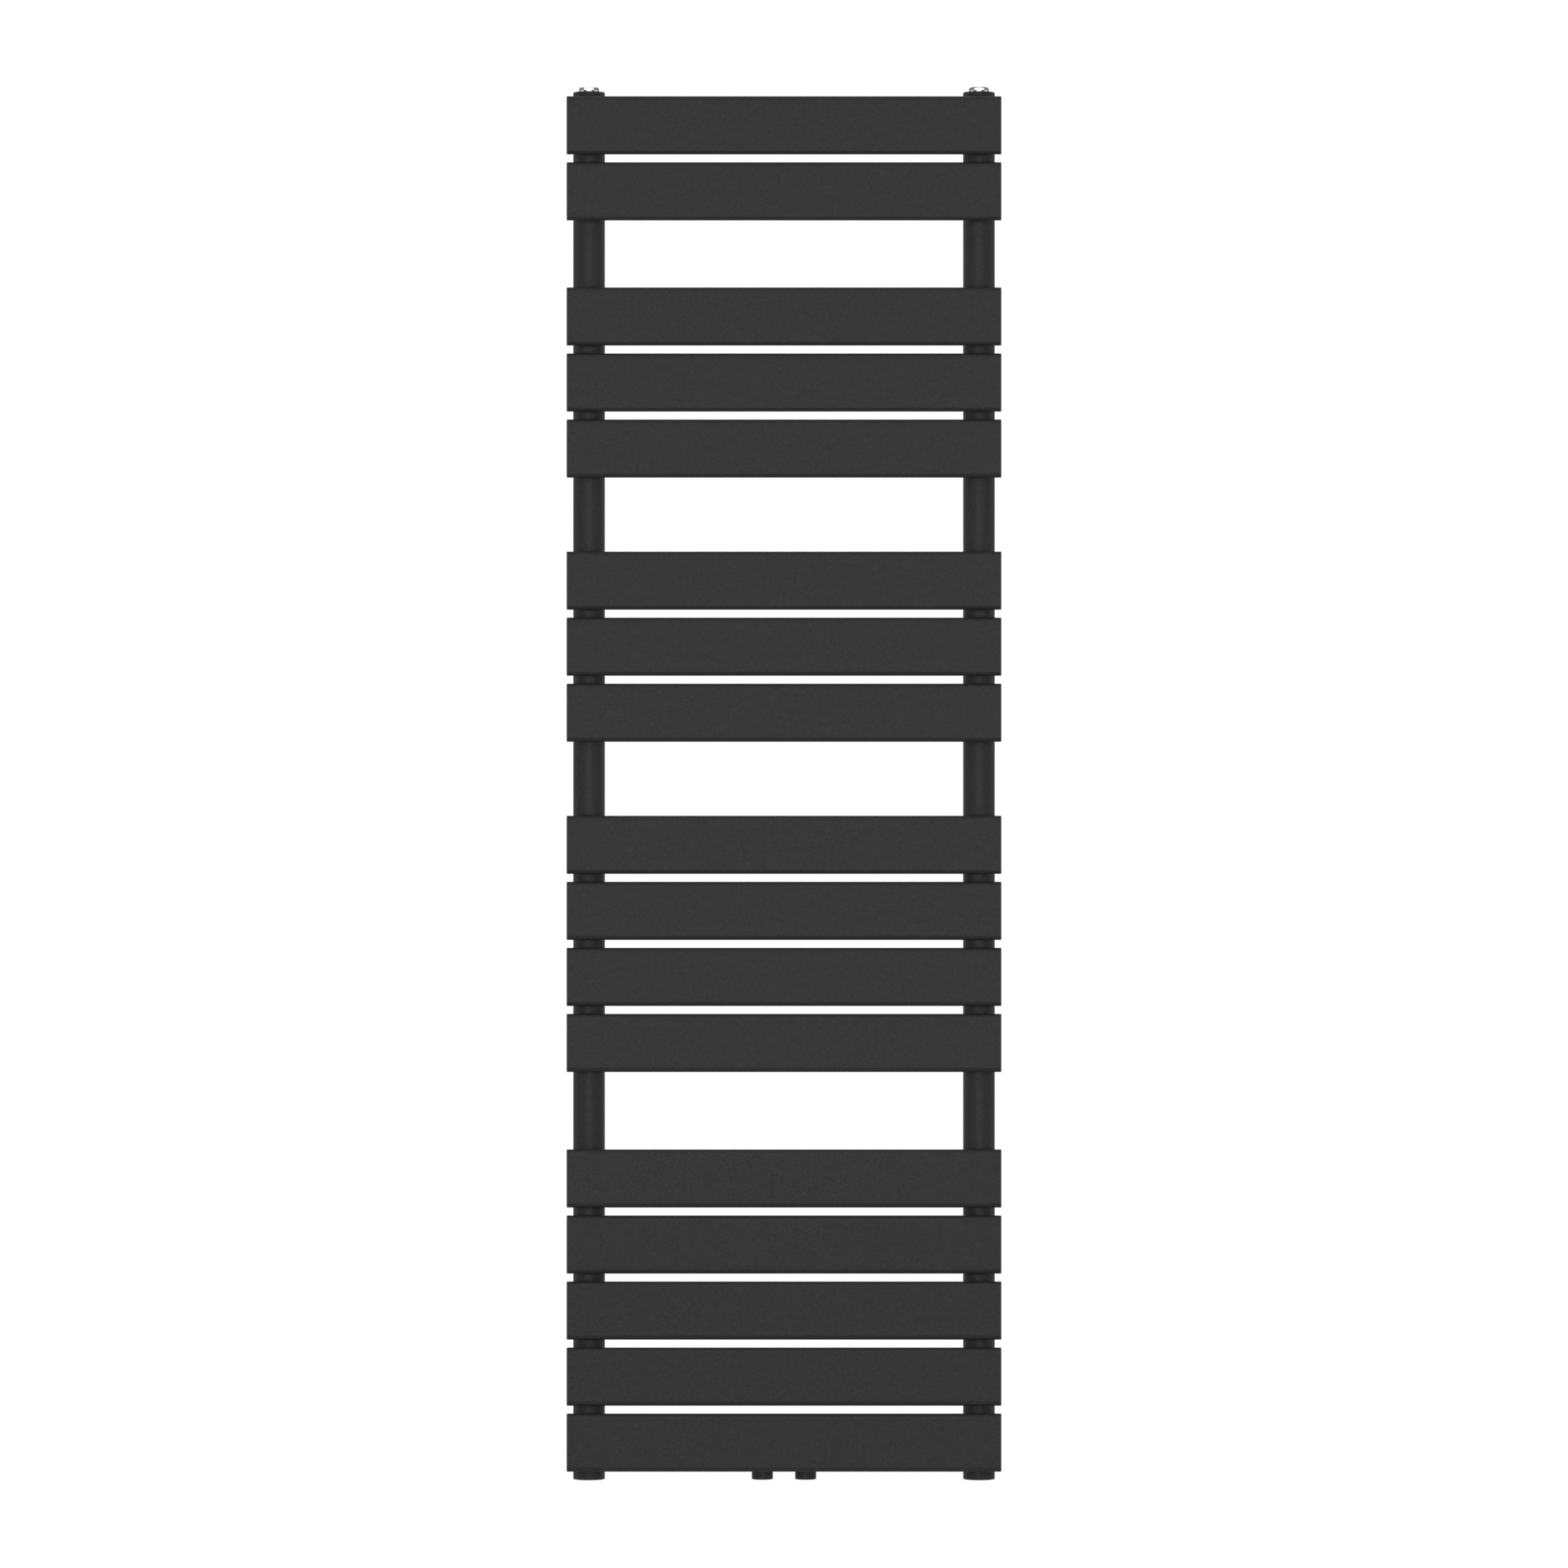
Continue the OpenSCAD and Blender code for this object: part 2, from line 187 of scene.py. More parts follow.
class TowelRackFittings(bpy.types.PropertyGroup):
    """Sizes of the plug, the air vent and the threaded sockets"""

    across_flats: length_prop("Across flats", "Width of the two hexagons", 20 * MM)
    flange_height: length_prop("Flange height", "Height of the round flanges", 2.1 * MM)
    plug_flat: length_prop("Plug flat diameter", "Where the plug's corners turn down", 22 * MM)
    vent_flat: length_prop("Vent flat diameter", "Where the vent's corners turn down", 18.8 * MM)
    weep_diameter: length_prop("Weep hole diameter", "Outlet hole of the vent", 1.5 * MM)
    corner_radius: length_prop("Corner radius", "Hexagon's rounded upright corners", 1.2 * MM)
    edge_radius: length_prop("Edge radius", "Rounding of a turned piece's edges", 0.2 * MM)
    thread_pitch: length_prop("Thread pitch", "Pitch of the half-inch pipe thread", 1.814 * MM, 6)
    thread_root: length_prop("Thread root diameter", "Between the thread's roots", 20.955 * MM, 6)
    thread_crest: length_prop("Thread crest diameter", "Between its crests", 18.632 * MM, 6)


class TowelRackHolders(bpy.types.PropertyGroup):
    """Sizes of the wall sockets and of the collectors' end discs"""

    edge_radius: length_prop("Edge radius", "Rounding of the coated edges", 0.45 * MM)
    chamfer: length_prop("Chamfer", "Chamfer round a wall socket's mouth", 1 * MM)
    bore: length_prop("Bore", "Bore that the stem slides in", 20.1 * MM)
    floor: length_prop("Floor", "Thickness of a wall socket's floor", 5 * MM)
    screw_hole: length_prop("Screw hole", "Hole for the wall screw", 6.5 * MM)
    grub_hole: length_prop("Grub hole", "Hole for the grub screw", 4.917 * MM, 6)
    grub_inset: length_prop("Grub inset", "From a socket's mouth to its grub screw", 6 * MM)


class TowelRackStage(bpy.types.PropertyGroup):
    """Camera, floor and light"""

    camera_distance: length_prop("Camera distance", "From the camera to the panels", 8.5)
    view_width: length_prop("View width", "Width of the view at the panels", 1.8045)
    floor_drop: length_prop("Floor drop", "From the rack's lower end to the floor", 0.36)
    floor_color: color_prop("Floor color", "Colour of the pale floor", (0.88, 0.88, 0.88))
    floor_glow: share_prop("Floor glow", "How much the floor lights itself", 0.5)
    room_level: share_prop("Room level", "Level of the even light in the room", 0.11)
    front_power: power_prop("Front power", "Power of the softbox in front", 87)
    wing_power: power_prop("Wing power", "Power of each softbox beside the front one", 44)
    rear_power: power_prop("Rear power", "Power of each softbox behind the rack", 190)
    top_power: power_prop("Top power", "Power of the softbox overhead", 29)


# ------------------------------------------------------------ node helpers

SOCKET_KINDS = {float: "Float", int: "Int", tuple: "Vector"}


def add_node(tree, kind, values=None, **settings):
    """Adds a node. A value that is another node's output is linked."""
    node = tree.nodes.new(kind)
    for key, value in settings.items():
        setattr(node, key, value)
    for key, value in (values or {}).items():
        if isinstance(value, bpy.types.NodeSocket):
            tree.links.new(value, node.inputs[key])
        else:
            node.inputs[key].default_value = value
    return node


def output_of(tree, kind, output, values=None, **settings):
    return add_node(tree, kind, values, **settings).outputs[output]


def calculate(tree, operation, *values):
    return output_of(tree, "ShaderNodeMath", 0, dict(enumerate(values)), operation=operation)


def scaled(tree, vector, factor):
    values = {0: vector, "Scale": factor}
    return output_of(tree, "ShaderNodeVectorMath", "Vector", values, operation="SCALE")


def reduced(tree, vector, by):
    values = {0: vector, 1: by}
    return output_of(tree, "ShaderNodeVectorMath", "Vector", values, operation="SUBTRACT")


def object_place(tree):
    return tree.nodes.new("ShaderNodeTexCoord").outputs["Object"]


def radius_and_height(tree, place):
    """A place's distance from the upright axis, and its height."""
    parts = add_node(tree, "ShaderNodeSeparateXYZ", {"Vector": place}).outputs
    flat = output_of(tree, "ShaderNodeCombineXYZ", 0, {"X": parts["X"], "Y": parts["Y"]})
    radius = output_of(tree, "ShaderNodeVectorMath", "Value", {0: flat}, operation="LENGTH")
    return radius, parts["Z"]


def noise(tree, place, scale, detail, roughness=0.5):
    values = {"Vector": place, "Scale": scale, "Detail": detail, "Roughness": roughness}
    return output_of(tree, "ShaderNodeTexNoise", "Fac", values)


def new_tree(name, kind, inputs, outputs):
    """An empty node tree. A default of None makes a socket of the label's kind."""
    tree = bpy.data.node_groups.new(name, kind)
    if kind == "GeometryNodeTree":
        tree.is_modifier = True
    for label, default in inputs.items():
        own = SOCKET_KINDS.get(type(default), label)
        item = tree.interface.new_socket(label, in_out="INPUT", socket_type=f"NodeSocket{own}")
        if default is not None:
            item.default_value = default
    for label in outputs:
        own = "Float" if kind == "ShaderNodeTree" else label
        tree.interface.new_socket(label, in_out="OUTPUT", socket_type=f"NodeSocket{own}")
    given = tree.nodes.new("NodeGroupInput").outputs
    return tree, given, tree.nodes.new("NodeGroupOutput").inputs


# ---------------------------------------------------------------- finishes

USUAL_SPAN = (0.3, 0.7)  # where most of a noise's values lie
PIT_SPAN = (0.2, 0.56)  # where most of the fine grain's heights lie
COAT_MOTTLE = (0.83, 1.17)  # how dark and light the coat's patches are
COAT_PIT_SHADE_AND_BUMP_LIGHT = (0.82, 1.15)  # how much painted shade darkens its pits and painted light lightens its bumps
COAT_GLOSS_SPREAD = 0.025  # how much rougher and glossier the patches are
COARSE_CELLS, FINE_CELLS = 0.6, 1.3  # cells of the grain's two noises in one size
MOTTLE_CELLS = 0.5  # and of the mottle's noise in one mottle size
FINE_DEPTH = -0.35  # height of the fine noise against the coarse one


def build_fine_grain():
    """Two sizes of fine bumps, and a slow mottle for colour and gloss."""
    tree, given, result = new_tree(
        "fine_grain", "ShaderNodeTree", {"Size": MM, "Mottle Size": 3 * MM}, ("Height", "Mottle")
    )
    place = object_place(tree)
    coarse_scale = calculate(tree, "DIVIDE", COARSE_CELLS, given["Size"])
    coarse = noise(tree, place, coarse_scale, detail=1.5, roughness=0.55)
    fine_scale = calculate(tree, "DIVIDE", FINE_CELLS, given["Size"])
    values = {"Vector": place, "Scale": fine_scale}
    fine = output_of(tree, "ShaderNodeTexVoronoi", "Distance", values, feature="SMOOTH_F1")
    height = calculate(tree, "MULTIPLY_ADD", fine, FINE_DEPTH, coarse)
    patch_scale = calculate(tree, "DIVIDE", MOTTLE_CELLS, given["Mottle Size"])
    mottle = noise(tree, place, patch_scale, detail=3.0, roughness=0.6)
    tree.links.new(height, result["Height"])
    tree.links.new(mottle, result["Mottle"])


def build_turning_marks():
    """Fine rings round an upright axis, as a lathe tool leaves them."""
    tree, given, result = new_tree(
        "turning_marks", "ShaderNodeTree", {"Axis": (0.0, 0.0, 0.0), "Feed": 0.2 * MM}, ("Height",)
    )
    offset = reduced(tree, object_place(tree), given["Axis"])
    along = calculate(tree, "ADD", *radius_and_height(tree, offset))
    turns = calculate(tree, "DIVIDE", along, given["Feed"])
    values = {"W": turns, "Scale": 1.0, "Detail": 2.0}
    rings = output_of(tree, "ShaderNodeTexNoise", "Fac", values, noise_dimensions="1D")
    tree.links.new(rings, result["Height"])


def build_handling_marks():
    """Faint wiping marks and specks that vary a bright surface's gloss."""
    tree, given, result = new_tree(
        "handling_marks", "ShaderNodeTree", {"Base": 0.05, "Amount": 0.05}, ("Roughness",)
    )
    place = object_place(tree)
    values = {"Vector": place, "Rotation": (0.4, 0.7, 0.3), "Scale": (1.0, 1.0, 9.0)}
    stretched = output_of(tree, "ShaderNodeMapping", "Vector", values)
    wiping = noise(tree, stretched, scale=240.0, detail=4.0)
    smears = noise(tree, place, scale=90.0, detail=2.0)
    marks = calculate(tree, "MULTIPLY", wiping, smears)
    total = calculate(tree, "MULTIPLY_ADD", marks, given["Amount"], given["Base"])
    tree.links.new(total, result["Roughness"])


def ranged(tree, value, low, high, span=USUAL_SPAN):
    """A value's usual span stretched to run from low to high."""
    values = {"From Min": span[0], "From Max": span[1], "To Min": low, "To Max": high}
    return output_of(tree, "ShaderNodeMapRange", "Result", {"Value": value, **values})


def place_group(tree, name, values):
    group = bpy.data.node_groups[name]
    return add_node(tree, "ShaderNodeGroup", values, node_tree=group).outputs


def begin_material(name):
    material = bpy.data.materials.new(name)
    material.use_nodes = True
    material.node_tree.nodes.clear()
    return material.node_tree


def end_material(tree, color, roughness, height, bump_size, metallic=0.0):
    """Ends a material in its surface, bumped by a height that runs from 0 to 1."""
    bump = {"Height": height, "Distance": bump_size, "Strength": 1.0}
    values = {
        "Base Color": color,
        "Metallic": metallic,
        "Roughness": roughness,
        "Normal": output_of(tree, "ShaderNodeBump", "Normal", bump),
    }
    surface = output_of(tree, "ShaderNodeBsdfPrincipled", "BSDF", values)
    add_node(tree, "ShaderNodeOutputMaterial", {"Surface": surface})


def make_powder_coat(finish):
    tree = begin_material("anthracite_coat")
    sizes = {"Size": finish.grain_size, "Mottle Size": finish.mottle_size}
    grain = place_group(tree, "fine_grain", sizes)
    color = scaled(tree, tuple(finish.coat_color), ranged(tree, grain["Mottle"], *COAT_MOTTLE))
    # Painted shade in the grain's pits and painted light on its bumps, following the bump height
    color = scaled(tree, color, ranged(tree, grain["Height"], *COAT_PIT_SHADE_AND_BUMP_LIGHT, span=PIT_SPAN))
    level, spread = finish.coat_roughness, COAT_GLOSS_SPREAD
    rough = ranged(tree, grain["Mottle"], level + spread, level - spread)
    end_material(tree, color, rough, grain["Height"], finish.grain_height)


def make_chrome(finish):
    tree = begin_material("bright_chrome")
    marks = place_group(tree, "handling_marks", {"Base": 0.03, "Amount": 0.12})
    waves = noise(tree, object_place(tree), scale=160.0, detail=1.0)
    color = (*finish.chrome_color, 1.0)
    end_material(tree, color, marks["Roughness"], waves, 0.03 * MM, metallic=1.0)


def make_brass(finish):
    tree = begin_material("turned_brass")
    marks = place_group(tree, "handling_marks", {"Base": 0.18, "Amount": 0.3})
    level = ranged(tree, marks["Roughness"], low=1.0, high=0.8)
    color = scaled(tree, tuple(finish.brass_color), level)
    turning = {"Axis": middle("bleed_screw"), "Feed": 0.12 * MM}
    rings = place_group(tree, "turning_marks", turning)
    end_material(tree, color, marks["Roughness"], rings["Height"], 0.01 * MM, metallic=1.0)


def make_zinc(finish):
    tree = begin_material("zinc_plating")
    grain = place_group(tree, "fine_grain", {"Size": 0.5 * MM, "Mottle Size": 4 * MM})
    marks = place_group(tree, "handling_marks", {"Base": 0.24, "Amount": 0.35})
    level = ranged(tree, grain["Mottle"], low=0.82, high=1.1)
    color = scaled(tree, tuple(finish.zinc_color), level)
    end_material(tree, color, marks["Roughness"], grain["Height"], 0.006 * MM, metallic=1.0)


def make_rubber(finish):
    tree = begin_material("seal_rubber")
    grain = place_group(tree, "fine_grain", {"Size": 0.25 * MM, "Mottle Size": 2 * MM})
    level = ranged(tree, grain["Mottle"], low=0.8, high=1.3)
    color = scaled(tree, tuple(finish.rubber_color), level)
    rough = calculate(tree, "MULTIPLY_ADD", grain["Mottle"], 0.2, 0.45)
    end_material(tree, color, rough, grain["Height"], 0.008 * MM)


def finish_of(slot):
    material = bpy.data.materials.get(FINISHES[slot])
    if material is None:
        raise RuntimeError(f"add the finishes first: {FINISHES[slot]} is missing")
    return material


# ------------------------------------------------------------ mesh helpers

SAME_POINT = 1e-7  # points nearer to each other than this are one
ROUND_STEPS = 3  # steps of the small arc at a rounded corner
ROUND = "round"  # marks a profile's corners that get such an arc


def link(name, data):
    obj = bpy.data.objects.new(name, data)
    bpy.context.scene.collection.objects.link(obj)
    return obj


def plain_mesh(obj):
    """Swaps an object's mesh for its evaluated one and drops its modifiers."""
    graph = bpy.context.evaluated_depsgraph_get()
    mesh = bpy.data.meshes.new_from_object(obj.evaluated_get(graph), depsgraph=graph)
    name, rough = obj.name, obj.data
    bpy.data.objects.remove(obj)
    bpy.data.meshes.remove(rough)
    mesh.name = name
    return link(name, mesh)


def mesh_from(name, shell):
    mesh = bpy.data.meshes.new(name)
    shell.to_mesh(mesh)
    shell.free()
    return mesh


def close_shell(mesh):
    """Merges doubled points and turns every face outwards."""
    shell = bmesh.new()
    shell.from_mesh(mesh)
    bmesh.ops.remove_doubles(shell, verts=shell.verts, dist=SAME_POINT)
    bmesh.ops.recalc_face_normals(shell, faces=shell.faces)
    open_edges = sum(1 for edge in shell.edges if not edge.is_manifold)
    shell.to_mesh(mesh)
    shell.free()
    if open_edges:
        raise RuntimeError(f"{mesh.name} has {open_edges} open edges")


def shade(obj, angle=32.0):
    """Smooth shading, sharp above an angle, with flat faces kept flat. The
    modifier compares face areas, so it works on the piece in millimetres."""
    obj.data.polygons.foreach_set("use_smooth", [True] * len(obj.data.polygons))
    obj.data.set_sharp_from_angle(angle=math.radians(angle))
    obj.data.transform(Matrix.Scale(1 / MM, 4))
    weighted = obj.modifiers.new("even_shading", "WEIGHTED_NORMAL")
    weighted.keep_sharp = True
    weighted.weight = 100
    weighted.thresh = 0.0001
    obj = plain_mesh(obj)
    obj.data.transform(Matrix.Scale(MM, 4))
    return obj


def turned(name, centre, profile, angles, looped=False, axis="Z"):
    """A turned solid. The profile's points are (radius, height), each a number
    or a function of the angle, and a radius of 0 is a pole."""
    shell = bmesh.new()
    rings = []
    for radius, height in profile:
        if radius == 0:
            rings.append([shell.verts.new((0.0, 0.0, height))])
            continue
        ring = []
        for angle in angles:
            r = radius(angle) if callable(radius) else radius
            z = height(angle) if callable(height) else height
            ring.append(shell.verts.new((r * math.cos(angle), r * math.sin(angle), z)))
        rings.append(ring)
    count = len(angles)
    for lower, upper in zip(rings, rings[1:] + rings[:1] if looped else rings[1:]):
        for i in range(count):
            j = (i + 1) % count
            if len(lower) == 1:
                shell.faces.new((lower[0], upper[j], upper[i]))
            elif len(upper) == 1:
                shell.faces.new((lower[i], lower[j], upper[0]))
            else:
                shell.faces.new((lower[i], lower[j], upper[j], upper[i]))
    if axis == "Y":
        bmesh.ops.rotate(shell, verts=shell.verts, matrix=Matrix.Rotation(-math.pi / 2, 3, "X"))
    bmesh.ops.translate(shell, verts=shell.verts, vec=centre)
    mesh = mesh_from(name, shell)
    close_shell(mesh)
    return link(name, mesh)


def even_angles(count):
    return [2 * math.pi * i / count for i in range(count)]


def reach(radius, aside):
    """How far a round surface stands out, this far to one side of its axis."""
    return math.sqrt(radius**2 - aside**2)


def rounded_corner(corner, before, after, radius):
    """Points of a small arc in place of a profile's corner."""
    corner, before, after = Vector(corner), Vector(before), Vector(after)
    into = (before - corner).normalized()
    out = (after - corner).normalized()
    half = into.angle(out) / 2
    along = radius / math.tan(half)
    start, end = corner + into * along, corner + out * along
    hub = corner + (into + out).normalized() * (radius / math.sin(half))
    points = []
    for step in range(ROUND_STEPS + 1):
        spoke = (start - hub).lerp(end - hub, step / ROUND_STEPS).normalized() * radius
        points.append(tuple(hub + spoke))
    return points


def rounded_profile(points, radius):
    """The profile with each corner marked ROUND replaced by a small arc."""
    result = []
    for i, (r, z, *mark) in enumerate(points):
        if mark:
            before, after = points[i - 1], points[(i + 1) % len(points)]
            result += rounded_corner((r, z), before[:2], after[:2], radius)
        else:
            result.append((r, z))
    return result


def cut_out(piece, cutter):
    """Cuts the cutter's shape out of a piece."""
    cut = piece.modifiers.new("cut_out", "BOOLEAN")
    cut.object = cutter
    cut.operation = "DIFFERENCE"
    cut.solver = "MANIFOLD"
    piece = plain_mesh(piece)
    bpy.data.objects.remove(cutter)
    return piece


def drilled(piece, start, radius, length, axis="Z"):
    """Drills a round hole into a piece, from a point and along an axis."""
    profile = [(0, 0.0), (radius, 0.0), (radius, length), (0, length)]
    return cut_out(piece, turned("drill", start, profile, even_angles(32), axis=axis))


def finish_piece(obj, body, slot, *nodes):
    obj.data.materials.clear()
    obj.data.materials.append(finish_of(slot))
    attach(obj, body)
    if nodes:
        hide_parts(*nodes)


# ------------------------------------------------------ geometry node trees

NEARLY_HALF = 0.4999  # rounds a plate's sides without the arcs touching
EDGE_STEPS = 6  # points across a plate's rounded edge
PLATE_WELD = 0.02 * MM  # a plate's own points this near to each other are one
RIPPLE_STEP = 0.2  # from one ring of a bead to the next, in ripples
RIPPLE_BOW = 1.4  # how far a ripple's middle runs ahead of its sides
STRAY_SCALE = 160.0  # how fast a seam strays from its line, per metre
TAPER_POWER = 0.35  # how bluntly a tapered seam ends
LEAST_TAPER = 0.15  # how thin a tapered seam's ends become


def moved(tree, kind, shape, by, key="Offset"):
    return output_of(tree, kind, 0, {"Geometry": shape, key: by})


def end_tree(tree, result, shape, material):
    """Ends a tree in real geometry that wears its finish."""
    real = output_of(tree, "GeometryNodeRealizeInstances", 0, {"Geometry": shape})
    worn = {"Geometry": real, "Material": material}
    tree.links.new(output_of(tree, "GeometryNodeSetMaterial", 0, worn), result[0])
    return tree


def build_end_plate_tree():
    """Puts a flat oval plate with a rounded outer edge on every point."""
    inputs = {
        "Geometry": None,
        "Height": 67 * MM,
        "Thickness": 11 * MM,
        "Plate": 1.5 * MM,
        "Edge Radius": 0.5 * MM,
        "Arc Points": 24,
        "Turn": 0.0,
        "Material": None,
    }
    tree, given, result = new_tree("panel_end_plates", "GeometryNodeTree", inputs, ("Geometry",))

    def outline(shrink):
        width = calculate(tree, "SUBTRACT", given["Thickness"], shrink)
        height = calculate(tree, "SUBTRACT", given["Height"], shrink)
        sides = {"Width": height, "Height": width}
        box = output_of(tree, "GeometryNodeCurvePrimitiveQuadrilateral", 0, sides)
        values = {
            "Curve": box,
            "Count": given["Arc Points"],
            "Radius": calculate(tree, "MULTIPLY", width, NEARLY_HALF),
            "Limit Radius": True,
        }
        return output_of(tree, "GeometryNodeFilletCurve", 0, values, mode="POLY")

    def filled(curve):
        return output_of(tree, "GeometryNodeFillCurve", 0, {"Curve": curve}, mode="NGONS")

    def raised(mesh, by):
        lift = output_of(tree, "ShaderNodeCombineXYZ", 0, {"Z": by})
        return moved(tree, "GeometryNodeTransform", mesh, lift, key="Translation")

    outer = outline(0.0)
    inner = outline(calculate(tree, "MULTIPLY", given["Edge Radius"], 2.0))
    side_z = calculate(tree, "SUBTRACT", given["Plate"], given["Edge Radius"])
    base = filled(outer)
    face = raised(filled(inner), given["Plate"])
    up = {"Mesh": base, "Offset": (0.0, 0.0, 1.0), "Offset Scale": side_z, "Individual": False}
    wall = add_node(tree, "GeometryNodeExtrudeMesh", up).outputs
    chosen = {"Geometry": wall["Mesh"], "Selection": wall["Side"]}
    sides = output_of(tree, "GeometryNodeSeparateGeometry", 0, chosen, domain="FACE")
    bend = {
        "Resolution": EDGE_STEPS,
        "Radius": given["Edge Radius"],
        "Start Angle": 1.5 * math.pi,
        "Sweep Angle": math.pi / 2,
    }
    arc = output_of(tree, "GeometryNodeCurveArc", 0, bend, mode="RADIUS")
    curves = {"Curve": inner, "Profile Curve": arc}
    edge = output_of(tree, "GeometryNodeCurveToMesh", 0, curves)
    joined = tree.nodes.new("GeometryNodeJoinGeometry")
    for part in (base, sides, raised(edge, side_z), face):
        tree.links.new(part, joined.inputs[0])
    values = {"Geometry": joined.outputs[0], "Distance": PLATE_WELD}
    plate = output_of(tree, "GeometryNodeMergeByDistance", 0, values)
    turn = output_of(tree, "ShaderNodeCombineXYZ", 0, {"Y": given["Turn"]})
    values = {"Points": given["Geometry"], "Instance": plate, "Rotation": turn}
    placed = output_of(tree, "GeometryNodeInstanceOnPoints", 0, values)
    return end_tree(tree, result, placed, given["Material"])


def captured(tree, geometry, values):
    """Keeps named values on a geometry's points for later nodes."""
    node = tree.nodes.new("GeometryNodeCaptureAttribute")
    tree.links.new(geometry, node.inputs["Geometry"])
    for name, value in values.items():
        node.capture_items.new("FLOAT", name)
        tree.links.new(value, node.inputs[name])
    return node.outputs


def build_weld_tree():
    """Lays a rippled bead along every line of a mesh of edges."""
    inputs = {
        "Geometry": None,
        "Bead Radius": 1.5 * MM,
        "Ripple Pitch": 1.7 * MM,
        "Ripple Height": 0.15 * MM,
        "Wander": 0.2 * MM,
        "Taper": 0.0,
        "Facets": 12,
        "Seed": 1,
        "Material": None,
    }
    tree, given, result = new_tree("weld_seam", "GeometryNodeTree", inputs, ("Geometry",))
    line = output_of(tree, "GeometryNodeMeshToCurve", 0, {"Mesh": given["Geometry"]})
    step = calculate(tree, "MULTIPLY", given["Ripple Pitch"], RIPPLE_STEP)
    evenly = {"Curve": line, "Length": step}
    line = output_of(tree, "GeometryNodeResampleCurve", 0, evenly, mode="LENGTH")
    place = output_of(tree, "GeometryNodeInputPosition", 0)
    values = {"Vector": place, "W": given["Seed"], "Scale": STRAY_SCALE, "Detail": 1.0}
    drift = output_of(tree, "ShaderNodeTexNoise", "Color", values, noise_dimensions="4D")
    drift = scaled(tree, reduced(tree, drift, (0.5, 0.5, 0.5)), given["Wander"])
    line = moved(tree, "GeometryNodeSetPosition", line, drift)
    spline = tree.nodes.new("GeometryNodeSplineParameter").outputs
    path = captured(tree, line, {"Travel": spline["Length"], "Share": spline["Factor"]})
    values = {"Resolution": given["Facets"], "Radius": given["Bead Radius"]}
    ring = output_of(tree, "GeometryNodeCurvePrimitiveCircle", "Curve", values)
    around = captured(tree, ring, {"Around": spline["Factor"]})

    share = path["Share"]
    ends = calculate(tree, "MULTIPLY", share, calculate(tree, "SUBTRACT", 1.0, share))
    fullness = calculate(tree, "POWER", calculate(tree, "MULTIPLY", ends, 4.0), TAPER_POWER)
    tapered = calculate(tree, "MULTIPLY", fullness, given["Taper"])
    plain = calculate(tree, "SUBTRACT", 1.0, given["Taper"])
    full = calculate(tree, "ADD", tapered, plain)
    values = {
        "Curve": path["Geometry"],
        "Profile Curve": around["Geometry"],
        "Scale": calculate(tree, "MAXIMUM", full, LEAST_TAPER),
        "Fill Caps": True,
    }
    bead = output_of(tree, "GeometryNodeCurveToMesh", 0, values)

    turn = calculate(tree, "MULTIPLY", around["Around"], 2 * math.pi)
    bow = calculate(tree, "MULTIPLY", calculate(tree, "COSINE", turn), RIPPLE_BOW)
    ripples = calculate(tree, "DIVIDE", path["Travel"], given["Ripple Pitch"])
    phase = calculate(tree, "MULTIPLY_ADD", ripples, math.pi, bow)
    crest = calculate(tree, "ABSOLUTE", calculate(tree, "SINE", phase))
    lift = calculate(tree, "MULTIPLY", crest, given["Ripple Height"])
    ripple = scaled(tree, output_of(tree, "GeometryNodeInputNormal", 0), lift)
    bead = moved(tree, "GeometryNodeSetPosition", bead, ripple)
    smooth = output_of(tree, "GeometryNodeSetShadeSmooth", 0, {"Geometry": bead})
    return end_tree(tree, result, smooth, given["Material"])


def run_tree(name, mesh, tree, values):
    """Evaluates a node tree on a mesh and returns the plain result."""
    obj = link(name, mesh)
    modifier = obj.modifiers.new(tree.name, "NODES")
    modifier.node_group = tree
    for item in tree.interface.items_tree:
        if item.in_out == "INPUT" and item.name in values:
            modifier[item.identifier] = values[item.name]
    obj = plain_mesh(obj)
    close_shell(obj.data)
    return obj


def tree_named(name, build):
    return bpy.data.node_groups.get(name) or build()


def lines_mesh(name, lines):
    """A mesh of edges from lists of points; a list that ends where it starts closes."""
    mesh = bpy.data.meshes.new(name)
    points, edges = [], []
    for line in lines:
        closed = (line[0] - line[-1]).length < 10 * SAME_POINT
        own = line[:-1] if closed else line
        first = len(points)
        points += own
        edges += [(first + i, first + i + 1) for i in range(len(own) - 1)]
        if closed:
            edges.append((first + len(own) - 1, first))
    mesh.from_pydata(points, edges, [])
    return mesh


def add_seams(name, lines, welds, radius, taper=0.0, facets=12):
    """Adds a seam along each line, with finer ripples on the thinner ones."""
    fineness = min(1.0, radius / welds.seam_radius)
    values = {
        "Bead Radius": radius,
        "Ripple Pitch": welds.ripple_pitch,
        "Ripple Height": welds.ripple_height * fineness,
        "Wander": welds.wander * fineness,
        "Taper": taper,
        "Facets": facets,
        "Seed": welds.seed,
        "Material": finish_of("powder_coat"),
    }
    tree = tree_named("weld_seam", build_weld_tree)
    seams = run_tree(name, lines_mesh(name, lines), tree, values)
    finish_piece(seams, "radiator", "powder_coat")


# --------------------------------------------------------------- operators


class TOWEL_RACK_OT_finishes(bpy.types.Operator):
    """Makes the finishes and puts them on the frame's own pieces"""

    bl_idname = "towel_rack.finishes"
    bl_label = "Finishes"

    def execute(self, context):
        for build in (build_fine_grain, build_turning_marks, build_handling_marks):
            build()
        for make in (make_powder_coat, make_chrome, make_brass, make_zinc, make_rubber):
            make(context.scene.towel_rack_finish)
        for part in frame["record"]["subparts"]:
            materials = frame["nodes"][part["node"]].data.materials
            materials.clear()
            materials.append(finish_of(part["material_slot"]))
        return {"FINISHED"}


